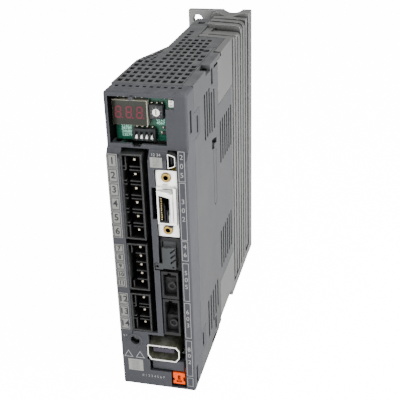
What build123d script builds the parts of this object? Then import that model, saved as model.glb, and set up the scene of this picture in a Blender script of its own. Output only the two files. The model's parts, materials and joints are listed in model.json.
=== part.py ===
"""Servo drive: a narrow panel-mounted amplifier built as separate pieces.

Places are given from the drive's left side, front face and bottom edge, in
millimetres: x to the right, y to the rear, z up. The planes facing(), beside() and
level() and the function spot() move them into the frame of the part, whose origin is
the middle of the footprint.
"""

import os

from build123d import *

os.makedirs("parts", exist_ok=True)

# Overall sizes and the fastening to the panel
WIDTH, DEPTH, HEIGHT = 40.0, 170.0, 168.0
HOLE_EDGE = 6.0
HOLE_SPACING = HEIGHT - 2 * HOLE_EDGE
HOLE_RADIUS = 3.0

# Casing
BODY_LOW, BODY_TOP = 2.4, 165.6
WALL = 2.0
FACE = 0.3
UPPER_FACE = 3.6
STEP_LOW, STEP_TOP = 133.5, 137.5
COVER_REAR = 16.0
SEAM = 0.25
CASE_FRONT = COVER_REAR + SEAM
PANEL_INNER = WIDTH - WALL
CORE_LEFT = 20.0
METAL_FRONT = 68.0
LOWER_METAL_FRONT = 66.0

# Vent holes on the top
VENT_X, VENT_Y = 2.5, 4.1
VENT_COLUMNS = [2.6 + 3.75 * i for i in range(9)]
VENT_ROWS = [21.4 + 6.45 * j for j in range(16)]

# Ramp on the left of the top, repeated below so that both panel screws can be reached
RAMP_START, RAMP_END, RAMP_DROP, RAMP_WIDTH = 56.0, 158.0, 14.2, 10.4
TONGUE_RIGHT, TONGUE_END = 19.8, 152.0

# Heat sink
CORE_THICK = 4.0
FIN_PITCH, FIN_GAP, FIN_FIRST = 7.75, 3.2, 108.0
FIN_TOPS = [165.5, 165.2, 164.2, 167.2, 167.3, 167.4]
FIN_LOW = 6.3
RIM_FRONT, RIM_LOW = 97.0, 0.4
PLATE_FRONT, TAB_FRONT = 158.2, 165.0

# Boards
BOARD = 1.6
POSTS = [(32, 20), (32, 126), (146, 27), (146, 126)]
POWER_BOARD_X = 4.4
CONTROL_BOARD_X = 34.4
DISPLAY_BOARD_Y = 12.0

# Power headers: name, number of ways, pitch, height of the middle
HEADERS = [("power_header_6way", 6, 7.5, 113.6),
           ("power_header_5way", 5, 5.0, 75.2),
           ("power_header_3way", 3, 7.5, 48.2)]
HEADER_X = (7.3, 17.9)
HEADER_DEPTH = 12.0
HEADER_RIM = {7.5: 0.1, 5.0: 0.8}
PIN_X, PIN_TIP, PIN_REAR = 13.4, 3.5, 14.5

# Display board controls
DIP_FIRST_X, DIP_PITCH, DIP_COUNT = 13.35, 2.54, 4
DIAL_X, DIAL_Z, DIAL_RADIUS = 23.7, 154.4, 1.8
RUNNING = 0.06

LEFT, FRONT = -WIDTH / 2, -DEPTH / 2


def spot(x, y, z):
    """Move a place measured from the left, front and bottom into the part's frame."""
    return (x + LEFT, y + FRONT, z)


def facing(y):
    """Plane seen from the front: local x and y are x from the left and z."""
    return Plane(origin=(LEFT, y + FRONT, 0), x_dir=(1, 0, 0), z_dir=(0, -1, 0))


def beside(x):
    """Plane seen from the right: local x and y are y from the front and z."""
    return Plane(origin=(x + LEFT, FRONT, 0), x_dir=(0, 1, 0), z_dir=(1, 0, 0))


def level(z):
    """Plane seen from above: local x and y are x from the left and y from the front."""
    return Plane(origin=(LEFT, FRONT, z), x_dir=(1, 0, 0), z_dir=(0, 0, 1))


def block(x, y, z, mode=Mode.ADD):
    """Add or cut a box, given its low and high x, y and z."""
    with Locations(spot(sum(x) / 2, sum(y) / 2, sum(z) / 2)):
        Box(x[1] - x[0], y[1] - y[0], z[1] - z[0], mode=mode)


def rod(plane, places, radius, length, mode=Mode.ADD):
    """Add or cut round bars of one radius that rise from the plane at each place."""
    with BuildSketch(plane) as ends:
        with Locations(*places):
            Circle(radius)
    extrude(ends.sketch, amount=length, mode=mode)


def prism(plane, points, length, mode=Mode.ADD):
    """Add or cut a straight-sided outline extruded from the plane."""
    with BuildSketch(plane) as outline:
        with BuildLine():
            Polyline(*points, close=True)
        make_face()
    extrude(outline.sketch, amount=length, mode=mode)


def slots(x, centres, low, high, width=2.6):
    """Cut upright slots through a side wall that starts at x, one at each y."""
    with BuildSketch(beside(x - 1)) as cuts:
        for y in centres:
            with Locations((y, (low(y) + high(y)) / 2)):
                Rectangle(width, high(y) - low(y))
    extrude(cuts.sketch, amount=WALL + 2, mode=Mode.SUBTRACT)


def save(piece, name):
    """Label a finished piece and write its STEP file."""
    piece.part.label = name
    export_step(piece.part, f"parts/{name}.step")


# ---------------------------------------------------------------- casing

SIDE_TABS = [(139.2, 152.4), (14.6, 27.8)]
TAB_REAR = 26.4

with BuildPart() as front_cover:
    prism(beside(0), [(FACE, BODY_LOW), (COVER_REAR, BODY_LOW), (COVER_REAR, BODY_TOP),
                      (UPPER_FACE, BODY_TOP), (UPPER_FACE, STEP_TOP), (FACE, STEP_LOW)], WIDTH)
    front_corners = front_cover.edges().filter_by(Axis.Z).group_by(Axis.Y)
    fillet(front_corners[0] + front_corners[1], radius=1.2)
    top_front = front_cover.edges().filter_by(Axis.X).group_by(Axis.Z)[-1].sort_by(Axis.Y)[0]
    fillet(top_front, radius=1.5)
    # hollow behind the face, in two depths
    block((WALL, PANEL_INNER), (FACE + WALL, 40), (BODY_LOW + WALL, STEP_LOW), Mode.SUBTRACT)
    block((WALL, PANEL_INNER), (UPPER_FACE + WALL, 40), (STEP_LOW - 1, BODY_TOP - WALL),
          Mode.SUBTRACT)
    # display window, wider beside the monitor socket, with the finger notch in its lower edge
    block((2.0, 29.8), (0, 8), (140.0, 163.2), Mode.SUBTRACT)
    block((29.0, 33.8), (0, 8), (157.8, 163.2), Mode.SUBTRACT)
    prism(facing(8), [(11.8, 140.5), (17.6, 140.5), (16.6, 138.6), (12.9, 138.6)], 8,
          Mode.SUBTRACT)
    block((13.0, 14.6), (2, 5.0), (162.0, 163.4))
    # column of power headers
    block((7.1, 20.9), (-1, 8), (36.5, 138.2), Mode.SUBTRACT)
    block((6.9, 7.4), (0, 0.8), (33.0, 36.6), Mode.SUBTRACT)
    # column of signal connectors, service port and lower connectors
    block((29.9, 34.7), (-1, 8), (129.3, 138.1), Mode.SUBTRACT)
    block((23.8, 35.2), (-1, 8), (12.2, 129.4), Mode.SUBTRACT)
    block((21.8, 24.0), (-1, 8), (103.0, 120.0), Mode.SUBTRACT)
    block((21.2, 24.0), (-1, 1.6), (74.6, 79.0), Mode.SUBTRACT)
    block((15.4, 24.0), (-1, 8), (12.2, 35.2), Mode.SUBTRACT)
    block((14.2, 24.0), (-1, 8), (19.0, 29.2), Mode.SUBTRACT)
    block((26.9, 35.2), (-1, 8), (3.2, 12.4), Mode.SUBTRACT)
    # lamp hole with a part ring round it
    rod(facing(4), [(8.0, 30.4)], 2.6, 5, Mode.SUBTRACT)
    with BuildSketch(facing(FACE)) as lamp_ring:
        with Locations((8.0, 30.4)):
            Circle(4.2)
            Circle(3.5, mode=Mode.SUBTRACT)
        with Locations((5.5, 27.0)):
            Rectangle(6, 6, rotation=45, mode=Mode.SUBTRACT)
    extrude(lamp_ring.sketch, amount=FACE)
    # row of small vents along the top, three on the left and one on the right blind
    for i in range(10):
        through = 3 <= i <= 8
        depth = 3.0 if through else 0.7
        middle = 4.1 + 3.4 * i
        block((middle - 0.9, middle + 0.9), (11.2, 13.4), (BODY_TOP - depth, BODY_TOP + 1),
              Mode.SUBTRACT)
    # side slots, and snap tabs that reach back into the casing
    slots(PANEL_INNER, [9.7], lambda y: 144.8, lambda y: 156.0, 3.2)
    slots(PANEL_INNER, [5.2], lambda y: 4.6, lambda y: 15.0, 2.8)
    for low, high in SIDE_TABS:
        for x in (0, PANEL_INNER):
            block((x, x + WALL), (COVER_REAR, TAB_REAR), (low, high))
    slots(PANEL_INNER, [22.0], lambda y: 140.6, lambda y: 149.3, 2.6)
    slots(PANEL_INNER, [20.6], lambda y: 17.2, lambda y: 25.9, 2.6)
    # inner lips that hold the cover in the case
    block((10, 30), (14, 19), (BODY_TOP - WALL - 1.2, BODY_TOP - WALL - 0.1))
    block((10, 30), (14, COVER_REAR), (BODY_TOP - WALL - 0.2, BODY_TOP - WALL))
    block((4, 26), (13, 19), (BODY_LOW + WALL + 0.1, BODY_LOW + WALL + 1.2))
    block((4, 26), (14, COVER_REAR), (BODY_LOW + WALL, BODY_LOW + WALL + 0.2))
    # feet that bring the casing level with the mounting plate
    for x in (4.0, 30.0):
        block((x, x + 6), (7, 15), (0, BODY_LOW))
save(front_cover, "front_cover")


def ramp(y):
    """Height of the outer surface of the upper ramp at y."""
    return BODY_TOP - RAMP_DROP * (y - RAMP_START) / (RAMP_END - RAMP_START)


def low_ramp(y):
    """Height of the outer surface of the lower ramp at y."""
    return BODY_LOW + BODY_TOP - ramp(y)


def vent_fits(column, row):
    """Tell whether the top has an open vent at this column and row."""
    x, y = VENT_COLUMNS[column], VENT_ROWS[row]
    if column <= 2:
        return y < RAMP_START - 1
    if column == 3:
        return y < 120
    if column <= 7:
        return y < 101
    return y < 49 or 58 < y < 68


with BuildPart() as main_case:
    # left wall, with its sloping edges
    prism(beside(0), [(CASE_FRONT, BODY_LOW), (RAMP_START, BODY_LOW),
                      (RAMP_END, low_ramp(RAMP_END)), (RAMP_END, ramp(RAMP_END)),
                      (RAMP_START, BODY_TOP), (CASE_FRONT, BODY_TOP)], WALL)
    # sloping skin over the left, and the flat top beside it
    prism(beside(0), [(CASE_FRONT, BODY_TOP), (RAMP_START, BODY_TOP), (RAMP_END, ramp(RAMP_END)),
                      (RAMP_END, ramp(RAMP_END) - WALL), (RAMP_START, BODY_TOP - WALL),
                      (CASE_FRONT, BODY_TOP - WALL)], RAMP_WIDTH)
    block((RAMP_WIDTH, TONGUE_RIGHT), (CASE_FRONT, TONGUE_END), (BODY_TOP - WALL, BODY_TOP))
    block((TONGUE_RIGHT, 34.5), (CASE_FRONT, 106.4), (BODY_TOP - WALL, BODY_TOP))
    block((34.0, 36.0), (84.3, 106.4), (BODY_TOP - WALL, BODY_TOP))
    # upright skin between the ramp and the raised top
    prism(beside(RAMP_WIDTH - 1.5), [(RAMP_START, BODY_TOP), (TONGUE_END, BODY_TOP),
                                     (TONGUE_END, ramp(TONGUE_END) - WALL),
                                     (RAMP_START, BODY_TOP - WALL)], 1.5)
    # rear closures behind the power section
    block((RAMP_WIDTH - 1.5, TONGUE_RIGHT), (TONGUE_END - 1.5, TONGUE_END),
          (ramp(RAMP_END) - WALL, BODY_TOP))
    block((RAMP_WIDTH, TONGUE_RIGHT), (TONGUE_END - 1.5, RAMP_END),
          (ramp(RAMP_END) - WALL, ramp(RAMP_END)))
    block((0, TONGUE_RIGHT), (RAMP_END - WALL, RAMP_END), (low_ramp(RAMP_END), ramp(RAMP_END)))
    block((RAMP_WIDTH, TONGUE_RIGHT), (RAMP_END - WALL, RAMP_END),
          (BODY_LOW, low_ramp(RAMP_END) + WALL))
    # flat bottom, with the lower ramp and the upright skin beside it
    block((0, PANEL_INNER - 0.1), (CASE_FRONT, RAMP_START), (BODY_LOW, BODY_LOW + WALL))
    block((RAMP_WIDTH - 1.5, PANEL_INNER - 0.1), (RAMP_START, 65.6), (BODY_LOW, BODY_LOW + WALL))
    block((RAMP_WIDTH - 1.5, TONGUE_RIGHT), (65.6, RAMP_END), (BODY_LOW, BODY_LOW + WALL))
    prism(beside(0), [(RAMP_START, BODY_LOW), (RAMP_END, low_ramp(RAMP_END)),
                      (RAMP_END, low_ramp(RAMP_END) + WALL), (RAMP_START, BODY_LOW + WALL)],
          RAMP_WIDTH)
    prism(beside(RAMP_WIDTH - 1.5), [(RAMP_START, BODY_LOW), (RAMP_END, BODY_LOW),
                                     (RAMP_END, low_ramp(RAMP_END) + WALL),
                                     (RAMP_START, BODY_LOW + WALL)], 1.5)
    # snap hooks for the right cover, top and bottom
    block((33.4, 34.5), (43.5, 51.5), (BODY_TOP - 5, BODY_TOP - WALL))
    block((34.5, 38.0), (44.0, 51.0), (BODY_TOP - 5, BODY_TOP - 3.6))
    # pockets for the front cover's tabs
    for low, high in SIDE_TABS:
        block((-1, WALL + 1), (CASE_FRONT - 1, TAB_REAR + SEAM), (low - SEAM, high + SEAM),
              Mode.SUBTRACT)
    # vents
    with BuildSketch(level(BODY_TOP - WALL - 1)) as vents:
        for row, y in enumerate(VENT_ROWS):
            for column, x in enumerate(VENT_COLUMNS):
                if vent_fits(column, row):
                    with Locations((x, y)):
                        Rectangle(VENT_X, VENT_Y)
        with Locations((31.8, 77.8)):
            SlotOverall(5.0, 3.4, rotation=90)
        with Locations((14.2, 141.0)):
            Rectangle(4.4, 6.0)
        with Locations((32.9, 42.4)):
            Rectangle(2.8, 3.0)
    extrude(vents.sketch, amount=WALL + 2, mode=Mode.SUBTRACT)
    # vents through the ramp
    with BuildSketch(level(ramp(RAMP_END) - 5)) as ramp_vents:
        for y in VENT_ROWS[6:15]:
            for x in VENT_COLUMNS[:3]:
                if x < RAMP_WIDTH - 3:
                    with Locations((x + 0.6, y)):
                        Rectangle(VENT_X - 0.6, VENT_Y)
    extrude(ramp_vents.sketch, amount=25, mode=Mode.SUBTRACT)
    # air inlets in the bottom
    with BuildSketch(level(BODY_LOW - 1)) as inlets:
        for y in VENT_ROWS[1:6]:
            for x in VENT_COLUMNS[1:]:
                with Locations((x, y)):
                    Rectangle(VENT_X, VENT_Y)
    extrude(inlets.sketch, amount=WALL + 2, mode=Mode.SUBTRACT)
    # slots low on the left wall, and posts for the power board
    slots(0, [30 + 6 * i for i in range(19)], lambda y: 30.0, lambda y: 62.0)
    rod(beside(WALL), POSTS, 2.6, POWER_BOARD_X - WALL)
    rod(beside(WALL), POSTS, 1.3, POWER_BOARD_X - WALL, Mode.SUBTRACT)
    # a shallow line across the top behind the right cover
    block((28.0, 36.5), (84.9, 85.3), (BODY_TOP - 0.4, BODY_TOP + 1), Mode.SUBTRACT)
save(main_case, "main_case")

SLOT_GROUPS = [
    # y of each slot, low end, high end
    ([37.7, 42.7, 47.7], lambda y: 130.5, lambda y: 154.7),
    ([52.6, 58.4], lambda y: 129.5, lambda y: 151.2),
    ([72.4 + 5.55 * i for i in range(6)], lambda y: 104.0, lambda y: 128.6),
    ([70.0 + 5.6 * i for i in range(6)], lambda y: 38.0, lambda y: 62.4),
    ([35.0 + 5.75 * i for i in range(5)], lambda y: 13.0 + 0.25 * (y - 35), lambda y: 37.0),
]

with BuildPart() as right_cover:
    prism(beside(PANEL_INNER), [(CASE_FRONT, BODY_LOW), (65.8, BODY_LOW), (65.8, 30.7),
                                (104.0, 30.7), (104.0, 139.0), (68.3, 139.0),
                                (68.3, BODY_TOP), (CASE_FRONT, BODY_TOP)], WALL)
    # strip along the top and its rear tongue
    block((34.75, PANEL_INNER), (CASE_FRONT, 75.0), (BODY_TOP - WALL, BODY_TOP))
    block((PANEL_INNER, WIDTH), (60.0, 75.0), (BODY_TOP - WALL, BODY_TOP))
    block((34.75, 36.0), (70.0, 84.0), (BODY_TOP - WALL, BODY_TOP))
    # snap window over the case's hook, open to the side
    block((35.2, WIDTH + 1), (41.0, 51.6), (BODY_TOP - 3, BODY_TOP + 1), Mode.SUBTRACT)
    # slit under the rear of the top strip, and a tall slit in front of it
    block((37.0, 41.0), (59.0, 68.4), (161.6, 163.0), Mode.SUBTRACT)
    slots(PANEL_INNER, [54.6], lambda y: 154.6, lambda y: 163.0, 3.8)
    for centres, low, high in SLOT_GROUPS:
        slots(PANEL_INNER, centres, low, high)
    slots(PANEL_INNER, [51.5], lambda y: 7.7, lambda y: 15.9, 3.2)
    # latch: an angled hole with a long springy rib below it
    prism(beside(PANEL_INNER - 1), [(51.8, 125.2), (57.5, 124.4), (62.6, 123.2), (62.6, 120.2),
                                    (57.4, 121.2), (57.0, 118.6), (51.8, 119.6)],
          WALL + 2, Mode.SUBTRACT)
    for y in (54.6, 60.4):
        block((WIDTH - 0.6, WIDTH + 1), (y, y + 0.6), (88.5, 119.0), Mode.SUBTRACT)
    with BuildSketch(beside(WIDTH - 0.6)) as rib_end:
        with Locations((57.8, 88.5)):
            Circle(3.2)
            Circle(2.6, mode=Mode.SUBTRACT)
        with Locations((57.8, 92.5)):
            Rectangle(8, 8, mode=Mode.SUBTRACT)
    extrude(rib_end.sketch, amount=2, mode=Mode.SUBTRACT)
    # small mark near the rear edge, and a slot and a notch along the bottom edge
    block((WIDTH - 0.7, WIDTH + 1), (103.0, 105.0), (79.5, 87.7), Mode.SUBTRACT)
    block((PANEL_INNER, WIDTH + 1), (41.0, 50.0), (BODY_LOW + 0.7, BODY_LOW + 3.4),
          Mode.SUBTRACT)
    block((PANEL_INNER + 0.6, WIDTH + 1), (60.0, 66.5), (BODY_LOW - 1, BODY_LOW + 1.2),
          Mode.SUBTRACT)
    # pockets for the front cover's tabs
    for low, high in SIDE_TABS:
        block((PANEL_INNER - 1, WIDTH + 1), (CASE_FRONT - 1, TAB_REAR + SEAM),
              (low - SEAM, high + SEAM), Mode.SUBTRACT)
save(right_cover, "right_cover")

# ---------------------------------------------------------------- heat sink


def fin(top, y, thick, corner):
    """Add one fin with a rounded upper right corner, a little lower on its right."""
    with BuildSketch(facing(y)) as outline:
        with BuildLine():
            Polyline((CORE_LEFT, FIN_LOW), (WIDTH, FIN_LOW), (WIDTH, top - 1.0),
                     (CORE_LEFT, top), close=True)
        make_face()
        fillet(outline.vertices().group_by(Axis.X)[-1].sort_by(Axis.Z)[-1], radius=corner)
    extrude(outline.sketch, amount=-thick)


MODULE_SCREWS = [(86.5, 76.0), (125.5, 76.0)]
EARTH_SCREWS = [(25.6, 75.5), (34.6, 75.5)]
SHAFTS = [(71.5, 24.0), (82.5, 0.0), (93.5, 0.0)]

with BuildPart() as heat_sink:
    # mounting plate: a thin tab side on the left and a thick wall on the right
    block((0, WIDTH), (TAB_FRONT, DEPTH), (0, HEIGHT))
    block((CORE_LEFT, WIDTH), (PLATE_FRONT, DEPTH), (0, HEIGHT))
    # core wall that carries the fins
    block((CORE_LEFT, CORE_LEFT + CORE_THICK), (METAL_FRONT, DEPTH - 1), (FIN_LOW, 163.2))
    block((CORE_LEFT, CORE_LEFT + CORE_THICK), (107.0, 139.0), (FIN_LOW, 165.0))
    # hollow block under the casing, with pads that come out flush with the casing
    block((CORE_LEFT, 37.2), (METAL_FRONT, 106.0), (FIN_LOW, 163.2))
    block((36.25, WIDTH), (METAL_FRONT + 0.6, 106.0), (139.3, 163.2))
    block((36.25, WIDTH), (78.0, 106.0), (163.0, 165.5))
    block((37.0, WIDTH), (LOWER_METAL_FRONT + 0.1, 106.0), (FIN_LOW, 30.4))
    block((CORE_LEFT, WIDTH), (LOWER_METAL_FRONT + 0.1, METAL_FRONT), (FIN_LOW, 30.4))
    # bottom wall that closes the gaps between the fins from below
    block((CORE_LEFT, WIDTH), (RIM_FRONT, DEPTH - 1), (RIM_LOW, FIN_LOW))
    rim_front = heat_sink.edges().filter_by(Axis.X).filter_by_position(
        Axis.Z, RIM_LOW - 0.01, RIM_LOW + 0.01).sort_by(Axis.Y)[0]
    fillet(rim_front, radius=4.0)
    # fins, and the flange at the rear of the block
    fin(BODY_TOP, 104.3, FIN_FIRST - FIN_GAP / 2 - 104.3, 1.8)
    block((CORE_LEFT - 1, 36.2), (104.0, FIN_FIRST - FIN_GAP / 2 + 0.1), (163.3, 167),
          Mode.SUBTRACT)
    for i, top in enumerate(FIN_TOPS):
        fin(top, FIN_FIRST + FIN_GAP / 2 + i * FIN_PITCH, FIN_PITCH - FIN_GAP,
            2.2 if i < 3 else 3.2)
    # air shafts up through the block, under the vents of the casing's top
    for y, low in SHAFTS:
        block((CORE_LEFT + CORE_THICK, 35.0), (y, y + 8.0), (low, HEIGHT), Mode.SUBTRACT)
    # dip in the top of the plate, and the gap beside the casing's tongue
    rod(facing(PLATE_FRONT - 3), [(28.2, 175.2)], 9.5, -20, Mode.SUBTRACT)
    block((CORE_LEFT - 1, CORE_LEFT + CORE_THICK - 0.6), (139.0, 148.5), (152.0, 166),
          Mode.SUBTRACT)
    # boss on the tab, with a shallow recess
    rod(facing(161.0), [(20.0, 163.6)], 4.4, -6)
    rod(facing(160.0), [(20.0, 163.6)], 2.6, -2.2, Mode.SUBTRACT)
    # holes for the panel screws, the earth screws and the power module's screws
    rod(facing(150), [(HOLE_EDGE, HOLE_EDGE), (HOLE_EDGE, HOLE_EDGE + HOLE_SPACING)],
        HOLE_RADIUS, -30, Mode.SUBTRACT)
    rod(level(0), EARTH_SCREWS, 1.7, 16, Mode.SUBTRACT)
    rod(beside(CORE_LEFT - 1), MODULE_SCREWS, 1.3, 1 + CORE_THICK, Mode.SUBTRACT)
    rear_corners = heat_sink.edges().filter_by(Axis.Z).group_by(Axis.Y)[-1]
    fillet(rear_corners.group_by(Axis.X)[0] + rear_corners.group_by(Axis.X)[-1], radius=1.0)
save(heat_sink, "heat_sink")

# ---------------------------------------------------------------- boards

STANDOFFS = [(62, 12), (62, 132), (20, 12)]


def way_heights(ways, pitch, middle):
    """Heights of one header's pins, from the top way down."""
    return [middle + pitch * ((ways - 1) / 2 - i) for i in range(ways)]


ALL_PIN_Z = [z for _, ways, pitch, middle in HEADERS for z in way_heights(ways, pitch, middle)]
MODULE_PINS = [(90.0 + 4.0 * i, z) for i in range(9) for z in (62.0, 90.0)]
RECTIFIER_PINS = [(95.0 + 7.0 * i, 102.5) for i in range(4)]

with BuildPart() as power_board:
    prism(beside(POWER_BOARD_X), [(3.0, 8.0), (76.0, 8.0), (150.0, 18.6), (150.0, 146.0),
                                  (17.0, 146.0),
                                  (17.0, 138.0), (6.5, 138.0), (6.5, 132.0), (3.0, 132.0),
                                  (3.0, 35.6), (16.0, 35.6),
                                  (16.0, 25.4), (3.0, 25.4)], BOARD)
    rod(beside(POWER_BOARD_X - 1), POSTS, 1.5, 4, Mode.SUBTRACT)
    rod(beside(POWER_BOARD_X - 1), STANDOFFS, 1.5, 4, Mode.SUBTRACT)
    rod(beside(POWER_BOARD_X - 1), [(PIN_REAR - 0.5, z) for z in ALL_PIN_Z], 0.8, 4,
        Mode.SUBTRACT)
    rod(beside(POWER_BOARD_X - 1), MODULE_PINS + RECTIFIER_PINS, 0.55, 4, Mode.SUBTRACT)
save(power_board, "power_board")

with BuildPart() as control_board:
    block((CONTROL_BOARD_X, CONTROL_BOARD_X + BOARD), (6.0, 64.0), (6.0, 158.0))
    rod(beside(CONTROL_BOARD_X - 1), STANDOFFS, 1.5, 4, Mode.SUBTRACT)
save(control_board, "control_board")

with BuildPart() as display_board:
    block((2.6, 34.0), (DISPLAY_BOARD_Y, DISPLAY_BOARD_Y + 1.2), (139.2, 163.0))
save(display_board, "display_board")

with BuildPart() as monitor_socket:
    block((30.6, 33.2), (6.4, DISPLAY_BOARD_Y), (158.2, 161.4))
    # two contact holes, one above the other
    for z in (159.0, 160.6):
        block((31.5, 32.3), (5, 9), (z - 0.4, z + 0.4), Mode.SUBTRACT)
save(monitor_socket, "monitor_socket")

# ---------------------------------------------------------------- display controls

DIGIT_X = [4.9, 10.4, 15.9]
DIGIT_Z, DIGIT_WIDE, DIGIT_HIGH, STROKE = 154.0, 3.0, 5.8, 0.75
DISPLAY_FACE = 8.0

with BuildPart() as digit_display:
    block((2.4, 19.6), (DISPLAY_FACE, DISPLAY_BOARD_Y), (147.8, 160.0))
    # shallow wells for the lit bars of each digit
    with BuildSketch(facing(DISPLAY_FACE)) as wells:
        for x in DIGIT_X:
            for z in (-1, 0, 1):
                with Locations((x, DIGIT_Z + z * DIGIT_HIGH / 2)):
                    Rectangle(DIGIT_WIDE - STROKE, STROKE)
            for side in (-1, 1):
                for z in (-1, 1):
                    with Locations((x + side * DIGIT_WIDE / 2, DIGIT_Z + z * DIGIT_HIGH / 4)):
                        Rectangle(STROKE, DIGIT_HIGH / 2 - STROKE * 0.7)
            with Locations((x + 2.5, DIGIT_Z - DIGIT_HIGH / 2)):
                Circle(0.42)
    extrude(wells.sketch, amount=-0.5, mode=Mode.SUBTRACT)
save(digit_display, "digit_display")

with BuildPart() as digit_segments:
    with BuildSketch(facing(DISPLAY_FACE + 0.1)) as bars:
        for x in DIGIT_X:
            for z in (-1, 0, 1):
                with Locations((x, DIGIT_Z + z * DIGIT_HIGH / 2)):
                    Rectangle(DIGIT_WIDE - STROKE - 0.1, STROKE - 0.1)
            for side in (-1, 1):
                for z in (-1, 1):
                    with Locations((x + side * DIGIT_WIDE / 2, DIGIT_Z + z * DIGIT_HIGH / 4)):
                        Rectangle(STROKE - 0.1, DIGIT_HIGH / 2 - STROKE * 0.7 - 0.1)
            with Locations((x + 2.5, DIGIT_Z - DIGIT_HIGH / 2)):
                Circle(0.37)
    extrude(bars.sketch, amount=-0.4)
save(digit_segments, "digit_segments")

with BuildPart() as rotary_switch:
    block((DIAL_X - 3.4, DIAL_X + 3.4), (8.8, DISPLAY_BOARD_Y), (DIAL_Z - 3.4, DIAL_Z + 3.4))
    rod(facing(8.0), [(DIAL_X, DIAL_Z)], DIAL_RADIUS + RUNNING, -2.6, Mode.SUBTRACT)
    chamfer(rotary_switch.faces().sort_by(Axis.Y)[0].outer_wire().edges(), 0.3)
save(rotary_switch, "rotary_switch")

with BuildPart() as rotary_dial:
    rod(facing(8.6), [(DIAL_X, DIAL_Z)], DIAL_RADIUS, -1.9)
    # screwdriver slot with a pointer at one end
    block((DIAL_X - 0.25, DIAL_X + 0.25), (8.0, 9.3), (DIAL_Z - 1.1, DIAL_Z + 1.1),
          Mode.SUBTRACT)
    prism(facing(9.3), [(DIAL_X - 0.7, DIAL_Z + 0.7), (DIAL_X + 0.7, DIAL_Z + 0.7),
                        (DIAL_X, DIAL_Z + 1.5)], 2, Mode.SUBTRACT)
save(rotary_dial, "rotary_dial")

DIP_TRAVEL = 1.4
DIP_SLOT = (140.9, 144.3)
DIP_X = [DIP_FIRST_X + DIP_PITCH * i for i in range(DIP_COUNT)]

with BuildPart() as dip_switch:
    block((DIP_X[0] - 1.75, DIP_X[-1] + 1.75), (9.2, DISPLAY_BOARD_Y), (139.7, 145.7))
    for x in DIP_X:
        block((x - 0.65, x + 0.65), (8, 10.6), DIP_SLOT, Mode.SUBTRACT)
save(dip_switch, "dip_switch")

for number, x in enumerate(DIP_X, start=1):
    low = DIP_SLOT[0] + 0.15
    with BuildPart() as dip_slider:
        block((x - 0.55, x + 0.55), (8.5, 10.5), (low, low + 1.7))
    save(dip_slider, f"dip_slider_{number}")

with BuildPart() as board_pins:
    # solder pins of the display, the dip switch and the rotary switch
    for x in (4.6, 7.6, 10.6, 13.6, 16.6):
        block((x - 0.5, x + 0.5), (10.6, DISPLAY_BOARD_Y), (160.1, 161.3))
    for x in DIP_X:
        block((x - 0.5, x + 0.5), (10.9, DISPLAY_BOARD_Y), (145.8, 147.0))
    for x in (DIAL_X - 2.54, DIAL_X, DIAL_X + 2.54):
        block((x - 0.45, x + 0.45), (10.9, DISPLAY_BOARD_Y), (DIAL_Z + 3.5, DIAL_Z + 4.8))
save(board_pins, "board_pins")

# ---------------------------------------------------------------- power headers

for name, ways, pitch, middle in HEADERS:
    half_height = ways * pitch / 2 + HEADER_RIM[pitch]
    low, top = middle - half_height, middle + half_height
    left, right = HEADER_X
    floor = FACE + HEADER_DEPTH - 1.6
    with BuildPart() as header:
        block(HEADER_X, (FACE, FACE + HEADER_DEPTH), (low, top))
        block((left + 0.8, right - 0.8), (0, floor), (low + 0.8, top - 0.8), Mode.SUBTRACT)
        # paired ribs between the wide ways, single ribs between the narrow ones
        spread = 0.9 if pitch > 6 else 0.0
        for i in range(1, ways):
            between = middle + pitch * (ways / 2 - i)
            for z in sorted({between - spread, between + spread}):
                block((11.4, right - 0.7), (FACE + 1.2, floor + 0.5), (z - 0.3, z + 0.3))
                if pitch > 6:
                    block((left + 0.7, 9.6), (FACE + 1.2, floor + 0.5), (z - 0.3, z + 0.3))
        # key walls at the top and bottom ways
        for z in (top - 0.7 - pitch / 2, low + 0.7 + pitch / 2):
            block((9.2, 9.8), (FACE + 1.2, floor + 0.5), (z - pitch / 2, z + pitch / 2 - 1.0))
        # holes for the pins
        rod(facing(floor - 1), [(PIN_X, z) for z in way_heights(ways, pitch, middle)],
            0.75, -4, Mode.SUBTRACT)
    save(header, name)

with BuildPart() as header_pins:
    for z in ALL_PIN_Z:
        block((PIN_X - 0.5, PIN_X + 0.5), (PIN_TIP, PIN_REAR), (z - 0.5, z + 0.5))
        block((POWER_BOARD_X - 0.8, PIN_X + 0.5), (PIN_REAR - 1, PIN_REAR), (z - 0.5, z + 0.5))
save(header_pins, "header_pins")

# ---------------------------------------------------------------- service port

with BuildPart() as service_port:
    with BuildSketch(facing(0.4)) as port_outline:
        with BuildLine():
            Polyline((30.5, 137.4), (33.2, 136.6), (34.2, 136.0), (34.2, 131.6), (33.2, 130.8),
                     (30.5, 130.0), close=True)
        make_face()
        offset(amount=-0.35, kind=Kind.INTERSECTION, mode=Mode.SUBTRACT)
    extrude(port_outline.sketch, amount=-9)
    block((30.4, 34.3), (8.9, 9.4), (129.9, 137.5))
save(service_port, "service_port")

with BuildPart() as service_port_tongue:
    block((31.6, 32.6), (1.8, 8.9), (131.6, 135.8))
save(service_port_tongue, "service_port_tongue")

# ---------------------------------------------------------------- input and output connector

IO_OUTLINE = [(25.2, 101.5), (30.2, 101.5), (30.2, 114.6), (25.2, 116.0)]
JACKS = [(29.2, 125.2), (29.0, 97.4)]
IO_ROWS = [102.9 + 1.22 * i for i in range(10)]

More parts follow.
